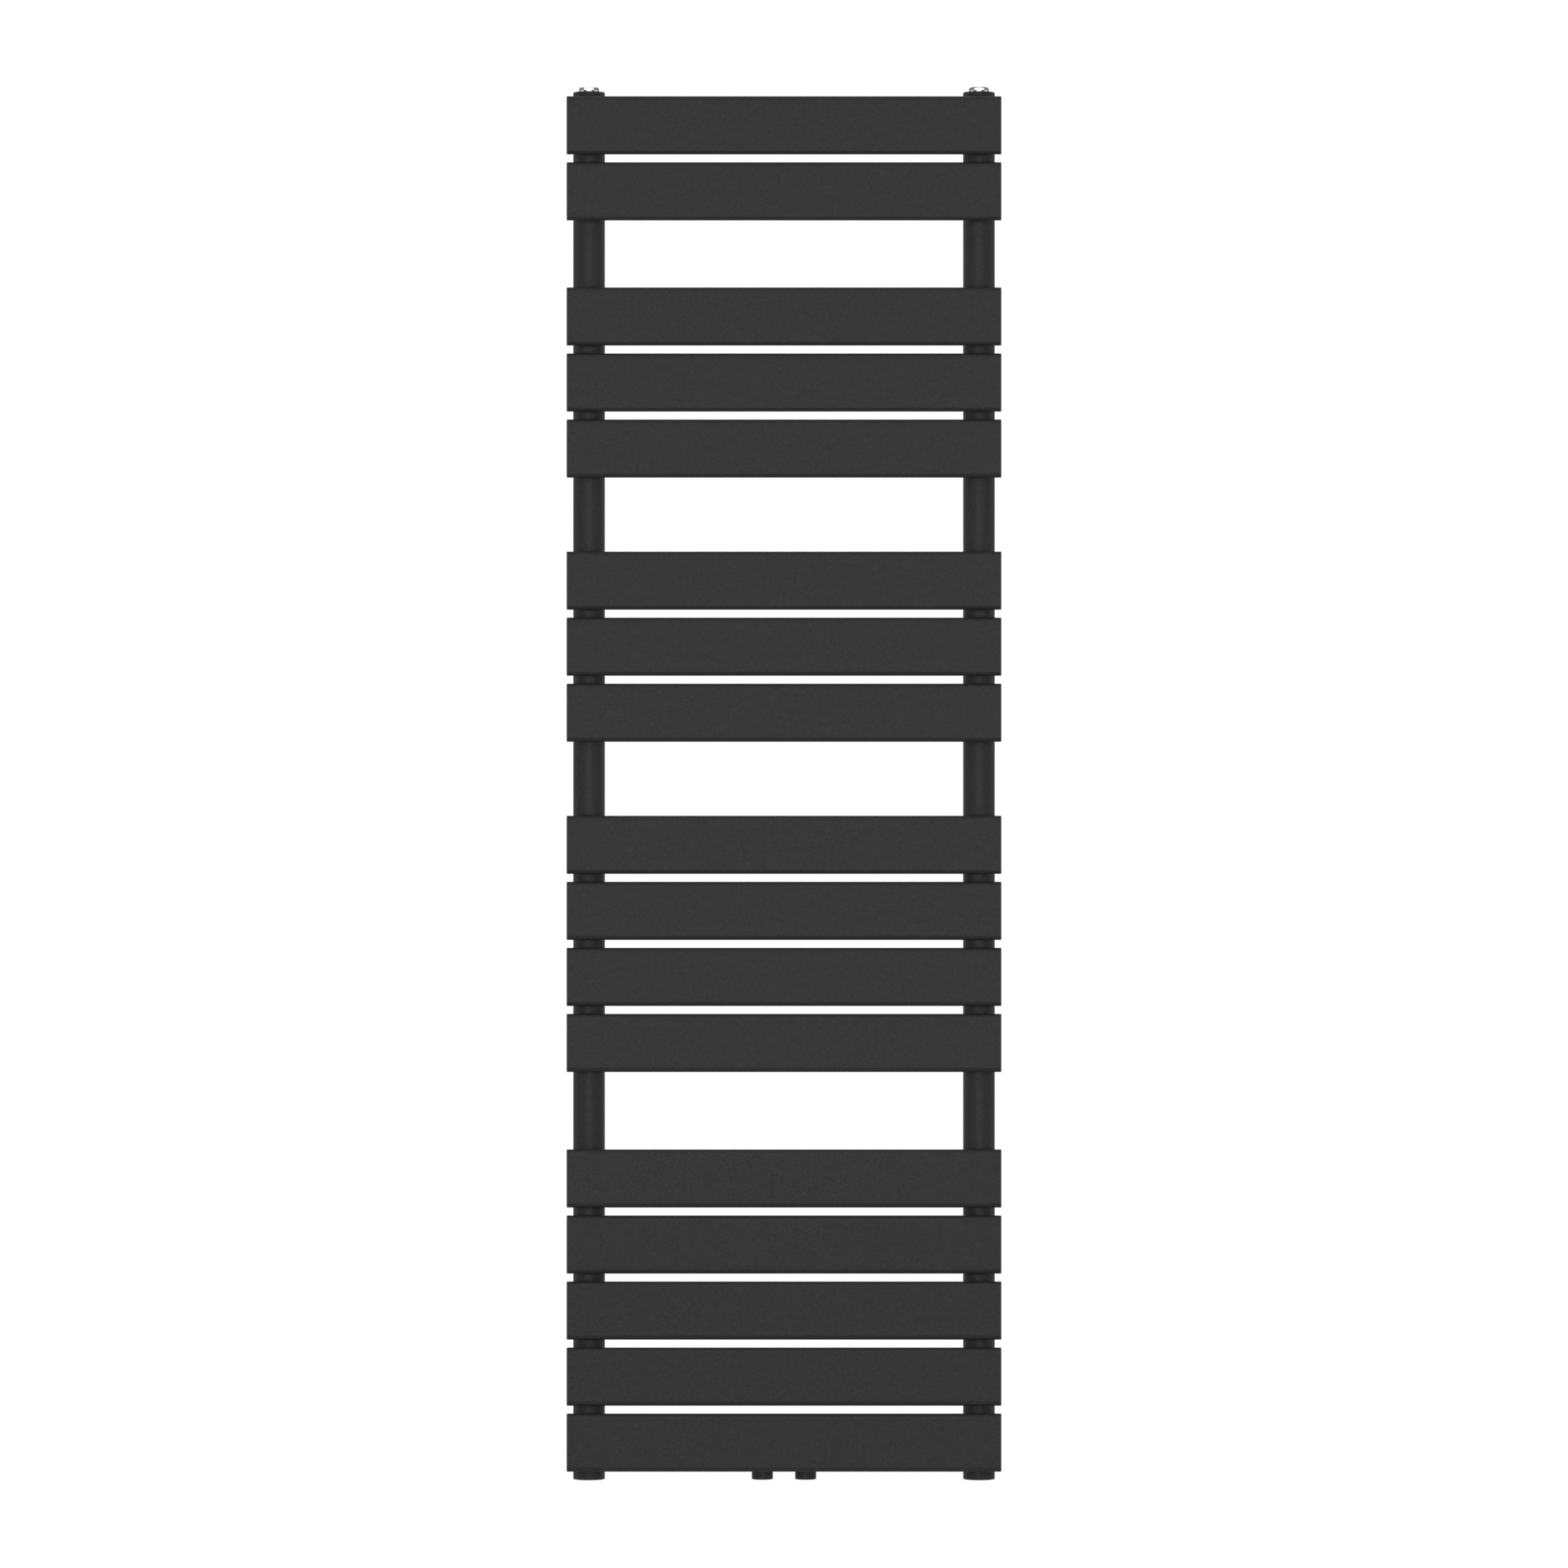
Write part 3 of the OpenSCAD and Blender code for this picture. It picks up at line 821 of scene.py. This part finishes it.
class TOWEL_RACK_OT_end_plates(bpy.types.Operator):
    """Adds the panels' end plates with their ground, rounded edges"""

    bl_idname = "towel_rack.end_plates"
    bl_label = "Panel end plates"

    def execute(self, context):
        ends = context.scene.towel_rack_ends
        size = extent("panel_01")
        for side, sign in SIDES.items():
            name = f"end_plates_{side}"
            low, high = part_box(name)
            seat = high.x if sign < 0 else low.x
            places = [(seat, middle(panel).y, middle(panel).z) for panel in PANELS]
            points = bpy.data.meshes.new(name)
            points.from_pydata(places, [], [])
            values = {
                "Height": size.z,
                "Thickness": size.y,
                "Plate": high.x - low.x,
                "Edge Radius": ends.edge_radius,
                "Arc Points": ends.arc_points,
                "Turn": sign * math.pi / 2,
                "Material": finish_of("powder_coat"),
            }
            tree = tree_named("panel_end_plates", build_end_plate_tree)
            plates = run_tree(f"ground_{name}", points, tree, values)
            finish_piece(shade(plates), "radiator", "powder_coat", name)
        return {"FINISHED"}


class TOWEL_RACK_OT_panel_seams(bpy.types.Operator):
    """Adds the upright weld seams between the panels' backs and the collectors"""

    bl_idname = "towel_rack.panel_seams"
    bl_label = "Panel weld seams"

    def execute(self, context):
        welds = context.scene.towel_rack_welds
        offset, length = welds.panel_seam_offset, welds.panel_seam_length
        steps = 8
        for side in SIDES:
            axis = COLLECTOR_AXIS[side]
            depth = (axis.y - reach(COLLECTOR_R, offset) + PANEL_BACK) / 2
            lines = []
            for panel in PANELS:
                for x in (axis.x - offset, axis.x + offset):
                    foot = Vector((x, depth, middle(panel).z - length / 2))
                    head = foot + Vector((0, 0, length))
                    lines.append([foot.lerp(head, i / steps) for i in range(steps + 1)])
            name, radius = f"panel_seams_{side}", welds.panel_seam_radius
            add_seams(name, lines, welds, radius, taper=1.0, facets=8)
        return {"FINISHED"}


class TOWEL_RACK_OT_joint_seams(bpy.types.Operator):
    """Adds the weld seams of the cross pipe, sockets, bosses and end discs"""

    bl_idname = "towel_rack.joint_seams"
    bl_label = "Joint weld seams"

    def execute(self, context):
        welds = context.scene.towel_rack_welds
        lift = welds.seam_radius * 0.12  # these beads' middles lie just outside the joints
        tube_r, pipe_r = COLLECTOR_R + lift, MANIFOLD_R + lift
        disc_r = COLLECTOR_R - welds.cap_seam_radius * 0.75  # and the discs' are nearly flush

        def ring(point):
            turns = even_angles(96) + [0.0]
            return [Vector(point(math.cos(t), math.sin(t))) for t in turns]

        pipe, sockets, bosses, discs = [], [], [], []
        for side, sign in SIDES.items():
            x, y = COLLECTOR_AXIS[side].xy

            def pipe_point(c, s):
                out = x - sign * reach(tube_r, pipe_r * c)
                return out, MANIFOLD.y + pipe_r * c, MANIFOLD.z + pipe_r * s

            pipe.append(ring(pipe_point))
            node = "flow_socket" if sign < 0 else "return_socket"
            hub, socket_r = middle(node), extent(node).x / 2 + lift

            def socket_point(c, s):
                down = MANIFOLD.z - reach(pipe_r, socket_r * s)
                return hub.x + socket_r * c, MANIFOLD.y + socket_r * s, down

            sockets.append(ring(socket_point))
            for level in LEVELS:
                node = f"boss_{level}_{side}"
                boss, boss_r = middle(node), extent(node).x / 2 + lift

                def boss_point(c, s):
                    back = y + reach(tube_r, boss_r * c)
                    return boss.x + boss_r * c, back, boss.z + boss_r * s

                bosses.append(ring(boss_point))
            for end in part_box(f"collector_{side}"):
                discs.append(ring(lambda c, s: (x + disc_r * c, y + disc_r * s, end.z)))
        socket_share, boss_share = 0.8, 0.9  # these seams are a little finer
        add_seams("pipe_seams", pipe, welds, welds.seam_radius)
        add_seams("socket_seams", sockets, welds, welds.seam_radius * socket_share)
        add_seams("boss_seams", bosses, welds, welds.seam_radius * boss_share)
        add_seams("disc_seams", discs, welds, welds.cap_seam_radius, facets=8)
        return {"FINISHED"}


class TOWEL_RACK_OT_threaded_sockets(bpy.types.Operator):
    """Adds the two pipe sockets with their female threads"""

    bl_idname = "towel_rack.threaded_sockets"
    bl_label = "Threaded sockets"

    def execute(self, context):
        fittings = context.scene.towel_rack_fittings
        pitch = fittings.thread_pitch
        crest, root = fittings.thread_crest / 2, fittings.thread_root / 2
        thread_end, passage_r, chamfer, wall_z = 14 * MM, 8 * MM, 0.3 * MM, 5 * MM
        mouth_r = root + 0.15 * MM
        lead_z, lead_foot, lead_r = 0.9 * MM, 0.55 * MM, root - 0.35 * MM
        count = int(thread_end / pitch * 12)  # twelve rings in each turn

        def thread_wall(z):
            fade = min(1.0, max(0.0, (thread_end - z) / pitch))

            def wall(t):
                turn = (z / pitch - t / (2 * math.pi)) % 1.0
                flank = abs(2 * turn - 1)
                # The first and last tenth of a flank are flat
                depth = min(1.0, max(0.0, 1.25 * flank - 0.125))
                depth = depth * depth * (3 - 2 * depth)
                return crest + (root - crest) * depth * fade

            return wall

        for name in ("flow_socket", "return_socket"):
            foot_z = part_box(name)[0].z
            hub = Vector((middle(name).x, middle(name).y, foot_z))
            outer = extent(name).x / 2

            def saddle(radius):
                axis_z = MANIFOLD.z - foot_z
                return radius, lambda t: axis_z - reach(MANIFOLD_R, radius * math.sin(t))

            corners = [
                (mouth_r, 0.0),
                (outer - chamfer, 0.0, ROUND),
                (outer, chamfer, ROUND),
                (outer, wall_z),
            ]
            profile = rounded_profile(corners, fittings.edge_radius)
            profile += [saddle(outer), saddle(passage_r)]
            profile += [(passage_r, thread_end + 1 * MM), (crest, thread_end)]
            for i in range(count, 0, -1):
                z = lead_z + (thread_end - lead_z) * i / (count + 1)
                profile.append((thread_wall(z), z))
            lead = thread_wall(lead_z)
            profile.append((lambda t: max(lead(t), lead_r), lead_foot))
            piece = turned(f"threaded_{name}", hub, profile, even_angles(120), looped=True)
            finish_piece(shade(piece, angle=40.0), "radiator", "powder_coat", name)
        return {"FINISHED"}


def hexagon_shape(across_flats, corner_radius):
    """A radius for every angle, and the angles at which to draw it."""
    flat, sixth, half_flat = across_flats / 2, math.pi / 3, math.pi / 6
    arm = (flat - corner_radius) / math.cos(half_flat)
    edge = math.atan((flat - corner_radius) * math.tan(half_flat) / flat)
    flat_steps, corner_steps = 7, 6

    def radius(t):
        away = (t + math.pi / 2) % sixth
        away = min(away, sixth - away)
        if away <= edge:
            return flat / math.cos(away)
        lean = half_flat - away
        return arm * math.cos(lean) + reach(corner_radius, arm * math.sin(lean))

    angles = []
    corner = sixth - 2 * edge
    for side in range(6):
        hub = -math.pi / 2 + side * math.pi / 3
        angles += [hub + edge * (i / flat_steps) for i in range(-flat_steps, flat_steps + 1)]
        angles += [hub + edge + corner * (i / corner_steps) for i in range(1, corner_steps)]
    return radius, angles


def hexagon_rings(radius, flat_r, foot, top, soft):
    """Profile of a hexagon whose corners are turned down at 30 degrees."""
    slope, gap = math.tan(math.pi / 6), 0.02 * MM

    def rim(t, inset=0.0):
        return top - max(0.0, radius(t) - inset - flat_r) * slope

    rings = [(radius, foot)]
    for lean in (0.0, 30.0, 60.0):
        sideways = soft * (1 - math.cos(math.radians(lean)))
        down = soft * (1 - math.sin(math.radians(lean)))
        rings.append((lambda t, s=sideways: radius(t) - s, lambda t, d=down: rim(t) - d))
    rings.append((lambda t: radius(t) - soft, lambda t: rim(t, soft)))
    rings.append((lambda t: min(radius(t) - soft, flat_r) - gap, top))
    return rings


def fitting_outside(node, flat_diameter, fittings):
    """Profile of a fitting's thread, round flange and hexagon, its angles,
    and the heights of its foot and top above the collector."""
    radius, angles = hexagon_shape(fittings.across_flats, fittings.corner_radius)
    foot, top = (end.z - TOP_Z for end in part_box(node))
    flange_r, flange_top = extent(node).x / 2, fittings.flange_height
    thread_r, lead, soft = fittings.thread_crest / 2, 0.5 * MM, fittings.edge_radius
    corners = [
        (thread_r, 0.0),
        (flange_r, 0.0, ROUND),
        (flange_r, flange_top, ROUND),
        (radius(0.0), flange_top),
    ]
    profile = [(thread_r - lead, foot), (thread_r, foot + lead)]
    profile += rounded_profile(corners, soft / 2)[:-1]
    profile += hexagon_rings(radius, flat_diameter / 2, flange_top, top, soft)
    return profile, angles, foot, top


def top_of(side):
    """The middle of the top of a collector's bush."""
    return Vector((*COLLECTOR_AXIS[side].xy, TOP_Z))


class TOWEL_RACK_OT_blind_plug(bpy.types.Operator):
    """Adds the chrome blind plug with its flange and rounded hexagon"""

    bl_idname = "towel_rack.blind_plug"
    bl_label = "Blind plug"

    def execute(self, context):
        fittings = context.scene.towel_rack_fittings
        outside, angles, foot, top = fitting_outside("blind_plug", fittings.plug_flat, fittings)
        hollow_r, hollow_top, face_r = 6 * MM, -2 * MM, 4 * MM
        profile = [(0, hollow_top), (hollow_r, hollow_top), (hollow_r, foot)]
        profile += outside + [(face_r, top), (0, top)]
        piece = turned("chrome_blind_plug", top_of("left"), profile, angles)
        finish_piece(shade(piece, angle=28.0), "radiator", "chrome", "blind_plug")
        return {"FINISHED"}


class TOWEL_RACK_OT_air_vent(bpy.types.Operator):
    """Adds the chrome air vent and the brass bleed screw in it"""

    bl_idname = "towel_rack.air_vent"
    bl_label = "Air vent"

    def execute(self, context):
        fittings = context.scene.towel_rack_fittings
        centre, soft = top_of("right"), fittings.edge_radius
        screw_r = extent("bleed_screw").x / 2
        bore_r, seat, passage_r = screw_r + 0.05 * MM, -3.6 * MM, 1.5 * MM
        outside, angles, foot, top = fitting_outside("vent_body", fittings.vent_flat, fittings)
        profile = [(passage_r, seat), (passage_r, foot)] + outside
        profile += rounded_corner((bore_r, top), (bore_r + soft, top), (bore_r, seat), soft)
        profile.append((bore_r, seat))
        piece = turned("chrome_air_vent", centre, profile, angles, looped=True)
        weep_r, weep_start, weep_length = fittings.weep_diameter / 2, 6 * MM, 10 * MM
        start = centre + Vector((0, weep_start, fittings.flange_height / 2))
        piece = drilled(piece, start, weep_r, weep_length, axis="Y")
        finish_piece(shade(piece, angle=28.0), "radiator", "chrome", "vent_body")

        tip, head = (end.z - TOP_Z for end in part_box("bleed_screw"))
        stem_r, tip_r, thread_foot = 2.2 * MM, 0.6 * MM, head - 3.2 * MM
        slot_width, slot_height = 1.2 * MM, 3.2 * MM
        corners = [(screw_r, 0.0), (screw_r, head, ROUND), (0.0, head)]
        profile = [(0, tip), (tip_r, tip), (stem_r, tip + stem_r - tip_r)]
        profile += [(stem_r, thread_foot), (screw_r, thread_foot)]
        profile += rounded_profile(corners, soft)[1:]
        screw = turned("slotted_bleed_screw", centre, profile, even_angles(64))
        shell = bmesh.new()
        size = Matrix.Diagonal((4 * screw_r, slot_width, slot_height, 1.0))
        place = Matrix.Translation(centre + Vector((0, 0, head)))
        bmesh.ops.create_cube(shell, size=1.0, matrix=place @ size)
        cutter = link("slot_cutter", mesh_from("slot_cutter", shell))
        screw = shade(cut_out(screw, cutter), angle=28.0)
        finish_piece(screw, "bleed_valve", "brass", "bleed_screw")
        return {"FINISHED"}


class TOWEL_RACK_OT_wall_sockets(bpy.types.Operator):
    """Adds the four turned wall sockets with their rounded edges"""

    bl_idname = "towel_rack.wall_sockets"
    bl_label = "Wall sockets"

    def execute(self, context):
        holders = context.scene.towel_rack_holders
        bore_r, hole_r, grub_r = holders.bore / 2, holders.screw_hole / 2, holders.grub_hole / 2
        chamfer, soft = holders.chamfer, holders.edge_radius
        for name in (f"wall_socket_{level}_{side}" for level in LEVELS for side in SIDES):
            low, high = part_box(name)
            mouth = Vector((middle(name).x, low.y, middle(name).z))
            outer, length = (high.z - low.z) / 2, high.y - low.y
            seat = length - holders.floor
            corners = [
                (bore_r, seat),
                (hole_r, seat),
                (hole_r, length),
                (outer, length, ROUND),
                (outer, chamfer, ROUND),
                (outer - chamfer, 0.0, ROUND),
                (bore_r + chamfer, 0.0, ROUND),
                (bore_r, chamfer),
            ]
            profile, angles = rounded_profile(corners, soft), even_angles(96)
            piece = turned(f"turned_{name}", mouth, profile, angles, looped=True, axis="Y")
            below = mouth + Vector((0, holders.grub_inset, -2 * outer))
            piece = drilled(piece, below, grub_r, 1.5 * outer)
            finish_piece(shade(piece), "wall_holders", "powder_coat", name)
        return {"FINISHED"}


class TOWEL_RACK_OT_collector_ends(bpy.types.Operator):
    """Adds the bushes and the discs that close the collectors"""

    bl_idname = "towel_rack.collector_ends"
    bl_label = "Collector ends"

    def execute(self, context):
        soft = context.scene.towel_rack_holders.edge_radius
        core_r = context.scene.towel_rack_fittings.thread_crest / 2
        recess_r, recess = core_r + 1.9 * MM, -1.8 * MM
        chamfer, wall, angles = 0.5 * MM, 1.5 * MM, even_angles(120)
        bore_r = COLLECTOR_R - wall
        for side in SIDES:
            tube_foot, tube_head = (end.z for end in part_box(f"collector_{side}"))
            name = f"top_bush_{side}"
            foot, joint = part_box(name)[0].z - TOP_Z, tube_head - TOP_Z
            corners = [
                (core_r, foot),
                (bore_r, foot),
                (bore_r, joint),
                (COLLECTOR_R, joint),
                (COLLECTOR_R, -chamfer, ROUND),
                (COLLECTOR_R - chamfer, 0.0, ROUND),
                (recess_r, 0.0),
                (recess_r, recess),
                (core_r, recess),
            ]
            profile = rounded_profile(corners, soft)
            bush = turned(f"turned_{name}", top_of(side), profile, angles, looped=True)
            finish_piece(shade(bush), "radiator", "powder_coat", name)

            name = f"bottom_cap_{side}"
            low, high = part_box(name)
            joint, head = tube_foot - low.z, high.z - low.z
            corners = [
                (0.0, 0.0),
                (COLLECTOR_R - chamfer, 0.0, ROUND),
                (COLLECTOR_R, chamfer, ROUND),
                (COLLECTOR_R, joint),
                (bore_r, joint),
                (bore_r, head),
                (0.0, head),
            ]
            centre = Vector((*COLLECTOR_AXIS[side].xy, low.z))
            cap = turned(f"turned_{name}", centre, rounded_profile(corners, soft), angles)
            finish_piece(shade(cap), "radiator", "powder_coat", name)
        return {"FINISHED"}


# ------------------------------------------------------------------ studio

TO_WALL, FROM_WALL, UP, DOWN = (0, 1, 0), (0, -1, 0), (0, 0, 1), (0, 0, -1)
FLOOR_SIZE = 4.4
FLOOR_FADE = (0.9, 2.1)  # where the floor begins and ends to clear away
LAMP_DISTANCE, LAMP_Z, LAMP_SIZE = 4.5, 0.2, (1.6, 4.4)

# How brightly each paint of the cards glows
PAINTS = {
    "black_card": 0.05,
    "under_card": 0.3,
    "dark_card": 0.08,
    "shade_card": 0.115,
    "rear_shade": 0.25,
    "grey_card": 0.2,
    "top_card": 0.37,
    "front_card": 0.45,
    "side_wall": 0.27,
    "soft_card": 0.42,
    "front_window": 0.55,
    "low_window": 0.97,
    "bright_card": 1.6,
    "side_card": 0.85,
    "rear_card": 0.22,
    "back_window": 1.0,
}


def reflection_cards(under_z):
    """The cards that only reflections see, each with its name, middle, facing,
    width, height and paint. The fore card lies at the height under_z."""
    cards = [
        ("front_card", (0, -5.2, 1.0), TO_WALL, 12.0, 9.0, "front_card"),
        ("front_band", (0, -5.15, 1.27), TO_WALL, 12.0, 0.9, "grey_card"),
        ("fore_card", (0, -2.2, under_z), UP, 5.0, 2.4, "black_card"),
        ("low_window", (0, -5.0, -1.3), TO_WALL, 3.6, 2.6, "low_window"),
        ("middle_card", (0, -5.0, 0.6), TO_WALL, 3.6, 1.2, "dark_card"),
        ("front_window", (0, -5.0, 1.8), TO_WALL, 3.6, 1.2, "front_window"),
        ("eye_window", (0, -4.9, 1.29), TO_WALL, 5.1, 0.28, "bright_card"),
        ("high_window", (0, -3.6, 4.1), DOWN, 5.0, 2.6, "soft_card"),
    ]
    for side, sign in SIDES.items():
        inward, x = (-sign, 0, 0), sign * 4.0
        cards += [
            (f"side_window_{side}", (x, -0.1, 1.27), inward, 3.4, 0.3, "side_card"),
            (f"rear_side_card_{side}", (x, 3.0, 1.2), inward, 2.8, 1.5, "rear_shade"),
            (f"side_band_{side}", (sign * 4.04, 0.0, 1.27), inward, 9.0, 0.9, "shade_card"),
            (f"side_card_{side}", (sign * 4.05, 0.0, 1.0), inward, 9.0, 9.0, "side_wall"),
            (f"ceiling_card_{side}", (sign * 9.0, 22.5, 30.0), DOWN, 15.2, 19.0, "dark_card"),
        ]
    cards += [
        ("top_card", (0, -2.4, 4.2), DOWN, 9.0, 6.4, "top_card"),
        ("rear_card", (0, 5.2, -1.2), FROM_WALL, 14.0, 5.6, "rear_card"),
        ("high_rear_card", (0, 5.2, 3.6), FROM_WALL, 8.0, 4.0, "dark_card"),
        ("back_window", (0, 5.1, 3.6), FROM_WALL, 1.2, 4.0, "back_window"),
        ("ceiling_band", (0, -0.35, 4.15), DOWN, 3.0, 1.7, "black_card"),
    ]
    return cards


def glowing(tree, level):
    values = {"Color": (level, level, level, 1.0), "Strength": 1.0}
    return output_of(tree, "ShaderNodeEmission", 0, values)


def make_card_paint(name, level):
    """A paint that glows evenly and takes no light."""
    tree = begin_material(f"{name}_paint")
    add_node(tree, "ShaderNodeOutputMaterial", {"Surface": glowing(tree, level)})


def make_floor_paint(color, level):
    """A pale paint with a glow of its own. It clears towards the floor's rim,
    and the floor can't be seen from below."""
    tree = begin_material("floor_paint")
    glow = glowing(tree, level)
    matt = output_of(tree, "ShaderNodeBsdfDiffuse", 0, {"Color": (*color, 1.0)})
    paint = output_of(tree, "ShaderNodeAddShader", 0, {0: glow, 1: matt})
    clear = output_of(tree, "ShaderNodeBsdfTransparent", 0)
    away = radius_and_height(tree, object_place(tree))[0]
    values = {"Value": away, "From Min": FLOOR_FADE[0], "From Max": FLOOR_FADE[1]}
    smooth = {"interpolation_type": "SMOOTHSTEP"}
    rim = output_of(tree, "ShaderNodeMapRange", "Result", values, **smooth)
    below = output_of(tree, "ShaderNodeNewGeometry", "Backfacing")
    values = {"Fac": calculate(tree, "MAXIMUM", rim, below), 1: paint, 2: clear}
    surface = output_of(tree, "ShaderNodeMixShader", 0, values)
    add_node(tree, "ShaderNodeOutputMaterial", {"Surface": surface})


def stage_sheet(name, centre, facing, width, height, paint, rays=("glossy",)):
    """A flat sheet of the studio, seen only by the given kinds of rays. One
    without a height is round."""
    shell = bmesh.new()
    if height is None:
        bmesh.ops.create_circle(shell, cap_ends=True, radius=width / 2, segments=96)
    else:
        bmesh.ops.create_grid(shell, x_segments=1, y_segments=1, size=0.5)
        bmesh.ops.scale(shell, vec=(width, height, 1), verts=shell.verts)
    turn = Vector(facing).to_track_quat("Z", "Y").to_matrix()
    bmesh.ops.rotate(shell, verts=shell.verts, matrix=turn)
    bmesh.ops.translate(shell, verts=shell.verts, vec=centre)
    sheet = link(name, mesh_from(name, shell))
    sheet.data.materials.append(bpy.data.materials[f"{paint}_paint"])
    for kind in ("camera", "diffuse", "glossy", "transmission", "shadow"):
        setattr(sheet, f"visible_{kind}", kind in rays)


def soft_light(name, place, aim, size, power):
    lamp = bpy.data.lights.new(name, "AREA")
    lamp.shape = "RECTANGLE"
    lamp.size, lamp.size_y = size
    lamp.energy = power
    obj = link(name, lamp)
    obj.location = place
    obj.rotation_mode = "QUATERNION"
    obj.rotation_quaternion = (Vector(aim) - Vector(place)).to_track_quat("-Z", "Y")
    obj.visible_glossy = False


def make_world(level):
    """Even light at a level, in front of a white background."""
    world = bpy.data.worlds.new("studio")
    world.use_nodes = True
    tree = world.node_tree
    tree.nodes.clear()
    rays = tree.nodes.new("ShaderNodeLightPath").outputs
    seen = calculate(tree, "MAXIMUM", rays["Is Camera Ray"], rays["Is Glossy Ray"])
    seen = calculate(tree, "MAXIMUM", seen, rays["Is Transmission Ray"])
    values = {"Value": seen, "To Min": level, "To Max": 1.0}
    strength = output_of(tree, "ShaderNodeMapRange", "Result", values)
    values = {"Color": (1.0, 1.0, 1.0, 1.0), "Strength": strength}
    light = output_of(tree, "ShaderNodeBackground", 0, values)
    add_node(tree, "ShaderNodeOutputWorld", {"Surface": light})
    bpy.context.scene.world = world


class TOWEL_RACK_OT_studio(bpy.types.Operator):
    """Adds the camera, the pale floor, the reflection cards and the lights"""

    bl_idname = "towel_rack.studio"
    bl_label = "Studio"

    def execute(self, context):
        scene = context.scene
        stage = scene.towel_rack_stage
        scene.view_settings.view_transform = "Standard"
        make_world(stage.room_level)

        depth = middle("panel_01").y
        lens = bpy.data.cameras.new("front_camera")
        lens.sensor_width = 36.0
        lens.lens = lens.sensor_width * stage.camera_distance / stage.view_width
        lens.clip_start, lens.clip_end = 0.1, 100.0
        camera = link("front_camera", lens)
        eye_z = 2 * MM
        camera.location = (0.0, depth - stage.camera_distance, eye_z)
        camera.rotation_euler = (math.pi / 2, 0.0, 0.0)
        scene.camera = camera

        floor_z = cad_bounds[0].z - stage.floor_drop
        under_z = floor_z - 0.05  # the cards under the floor lie just below it
        make_floor_paint(stage.floor_color, stage.floor_glow)
        centre, seen_by = (0.0, 0.0, floor_z), ("camera", "shadow")
        stage_sheet("floor", centre, UP, FLOOR_SIZE, None, "floor", seen_by)
        for name, glow in PAINTS.items():
            make_card_paint(name, glow)
        centre, seen_by = (0.0, 0.1, under_z), ("diffuse", "glossy", "shadow")
        stage_sheet("under_card", centre, UP, 3.6, 2.2, "under_card", seen_by)
        for card in reflection_cards(under_z):
            stage_sheet(*card)

        ring = {
            "front": (0.0, stage.front_power),
            "left_wing": (-57.0, stage.wing_power),
            "right_wing": (57.0, stage.wing_power),
            "left_rear": (-125.0, stage.rear_power),
            "right_rear": (125.0, stage.rear_power),
        }
        for name, (turn, power) in ring.items():
            away = math.radians(turn)
            x, y = LAMP_DISTANCE * math.sin(away), depth - LAMP_DISTANCE * math.cos(away)
            soft_light(f"{name}_softbox", (x, y, LAMP_Z), (0.0, depth, 0.0), LAMP_SIZE, power)
        high, low = (0.0, -0.5, 3.6), (0, -0.1, 0)
        soft_light("top_softbox", high, low, (2.4, 1.8), stage.top_power)
        return {"FINISHED"}


# ------------------------------------------------------------------- panel


class TOWEL_RACK_PT_tools(bpy.types.Panel):
    """Lists the rack's pieces and their sizes"""

    bl_idname = "TOWEL_RACK_PT_tools"
    bl_label = "Towel rack"
    bl_space_type = "VIEW_3D"
    bl_region_type = "UI"
    bl_category = "Towel rack"

    def draw(self, context):
        column = self.layout.column()
        for operator in OPERATORS:
            column.operator(operator.bl_idname)
        for owner, (label, group) in SETTINGS.items():
            column.label(text=label)
            for name in group.__annotations__:
                column.prop(getattr(context.scene, owner), name)


SETTINGS = {
    "towel_rack_finish": ("Finish", TowelRackFinish),
    "towel_rack_ends": ("Panel ends", TowelRackEnds),
    "towel_rack_welds": ("Welds", TowelRackWelds),
    "towel_rack_fittings": ("Fittings", TowelRackFittings),
    "towel_rack_holders": ("Holders and ends", TowelRackHolders),
    "towel_rack_stage": ("Studio", TowelRackStage),
}

OPERATORS = (
    TOWEL_RACK_OT_finishes,
    TOWEL_RACK_OT_end_plates,
    TOWEL_RACK_OT_panel_seams,
    TOWEL_RACK_OT_joint_seams,
    TOWEL_RACK_OT_threaded_sockets,
    TOWEL_RACK_OT_blind_plug,
    TOWEL_RACK_OT_air_vent,
    TOWEL_RACK_OT_wall_sockets,
    TOWEL_RACK_OT_collector_ends,
    TOWEL_RACK_OT_studio,
)


def register():
    for owner, (_, group) in SETTINGS.items():
        bpy.utils.register_class(group)
        setattr(bpy.types.Scene, owner, PointerProperty(type=group))
    for operator in OPERATORS:
        bpy.utils.register_class(operator)
    bpy.utils.register_class(TOWEL_RACK_PT_tools)


def unregister():
    bpy.utils.unregister_class(TOWEL_RACK_PT_tools)
    for operator in reversed(OPERATORS):
        bpy.utils.unregister_class(operator)
    for owner, (_, group) in SETTINGS.items():
        delattr(bpy.types.Scene, owner)
        bpy.utils.unregister_class(group)


def main():
    register()
    bpy.ops.towel_rack.finishes()
    bpy.ops.towel_rack.end_plates()
    bpy.ops.towel_rack.panel_seams()
    bpy.ops.towel_rack.joint_seams()
    bpy.ops.towel_rack.threaded_sockets()
    bpy.ops.towel_rack.blind_plug()
    bpy.ops.towel_rack.air_vent()
    bpy.ops.towel_rack.wall_sockets()
    bpy.ops.towel_rack.collector_ends()
    bpy.ops.towel_rack.studio()


if __name__ == "__main__":
    main()
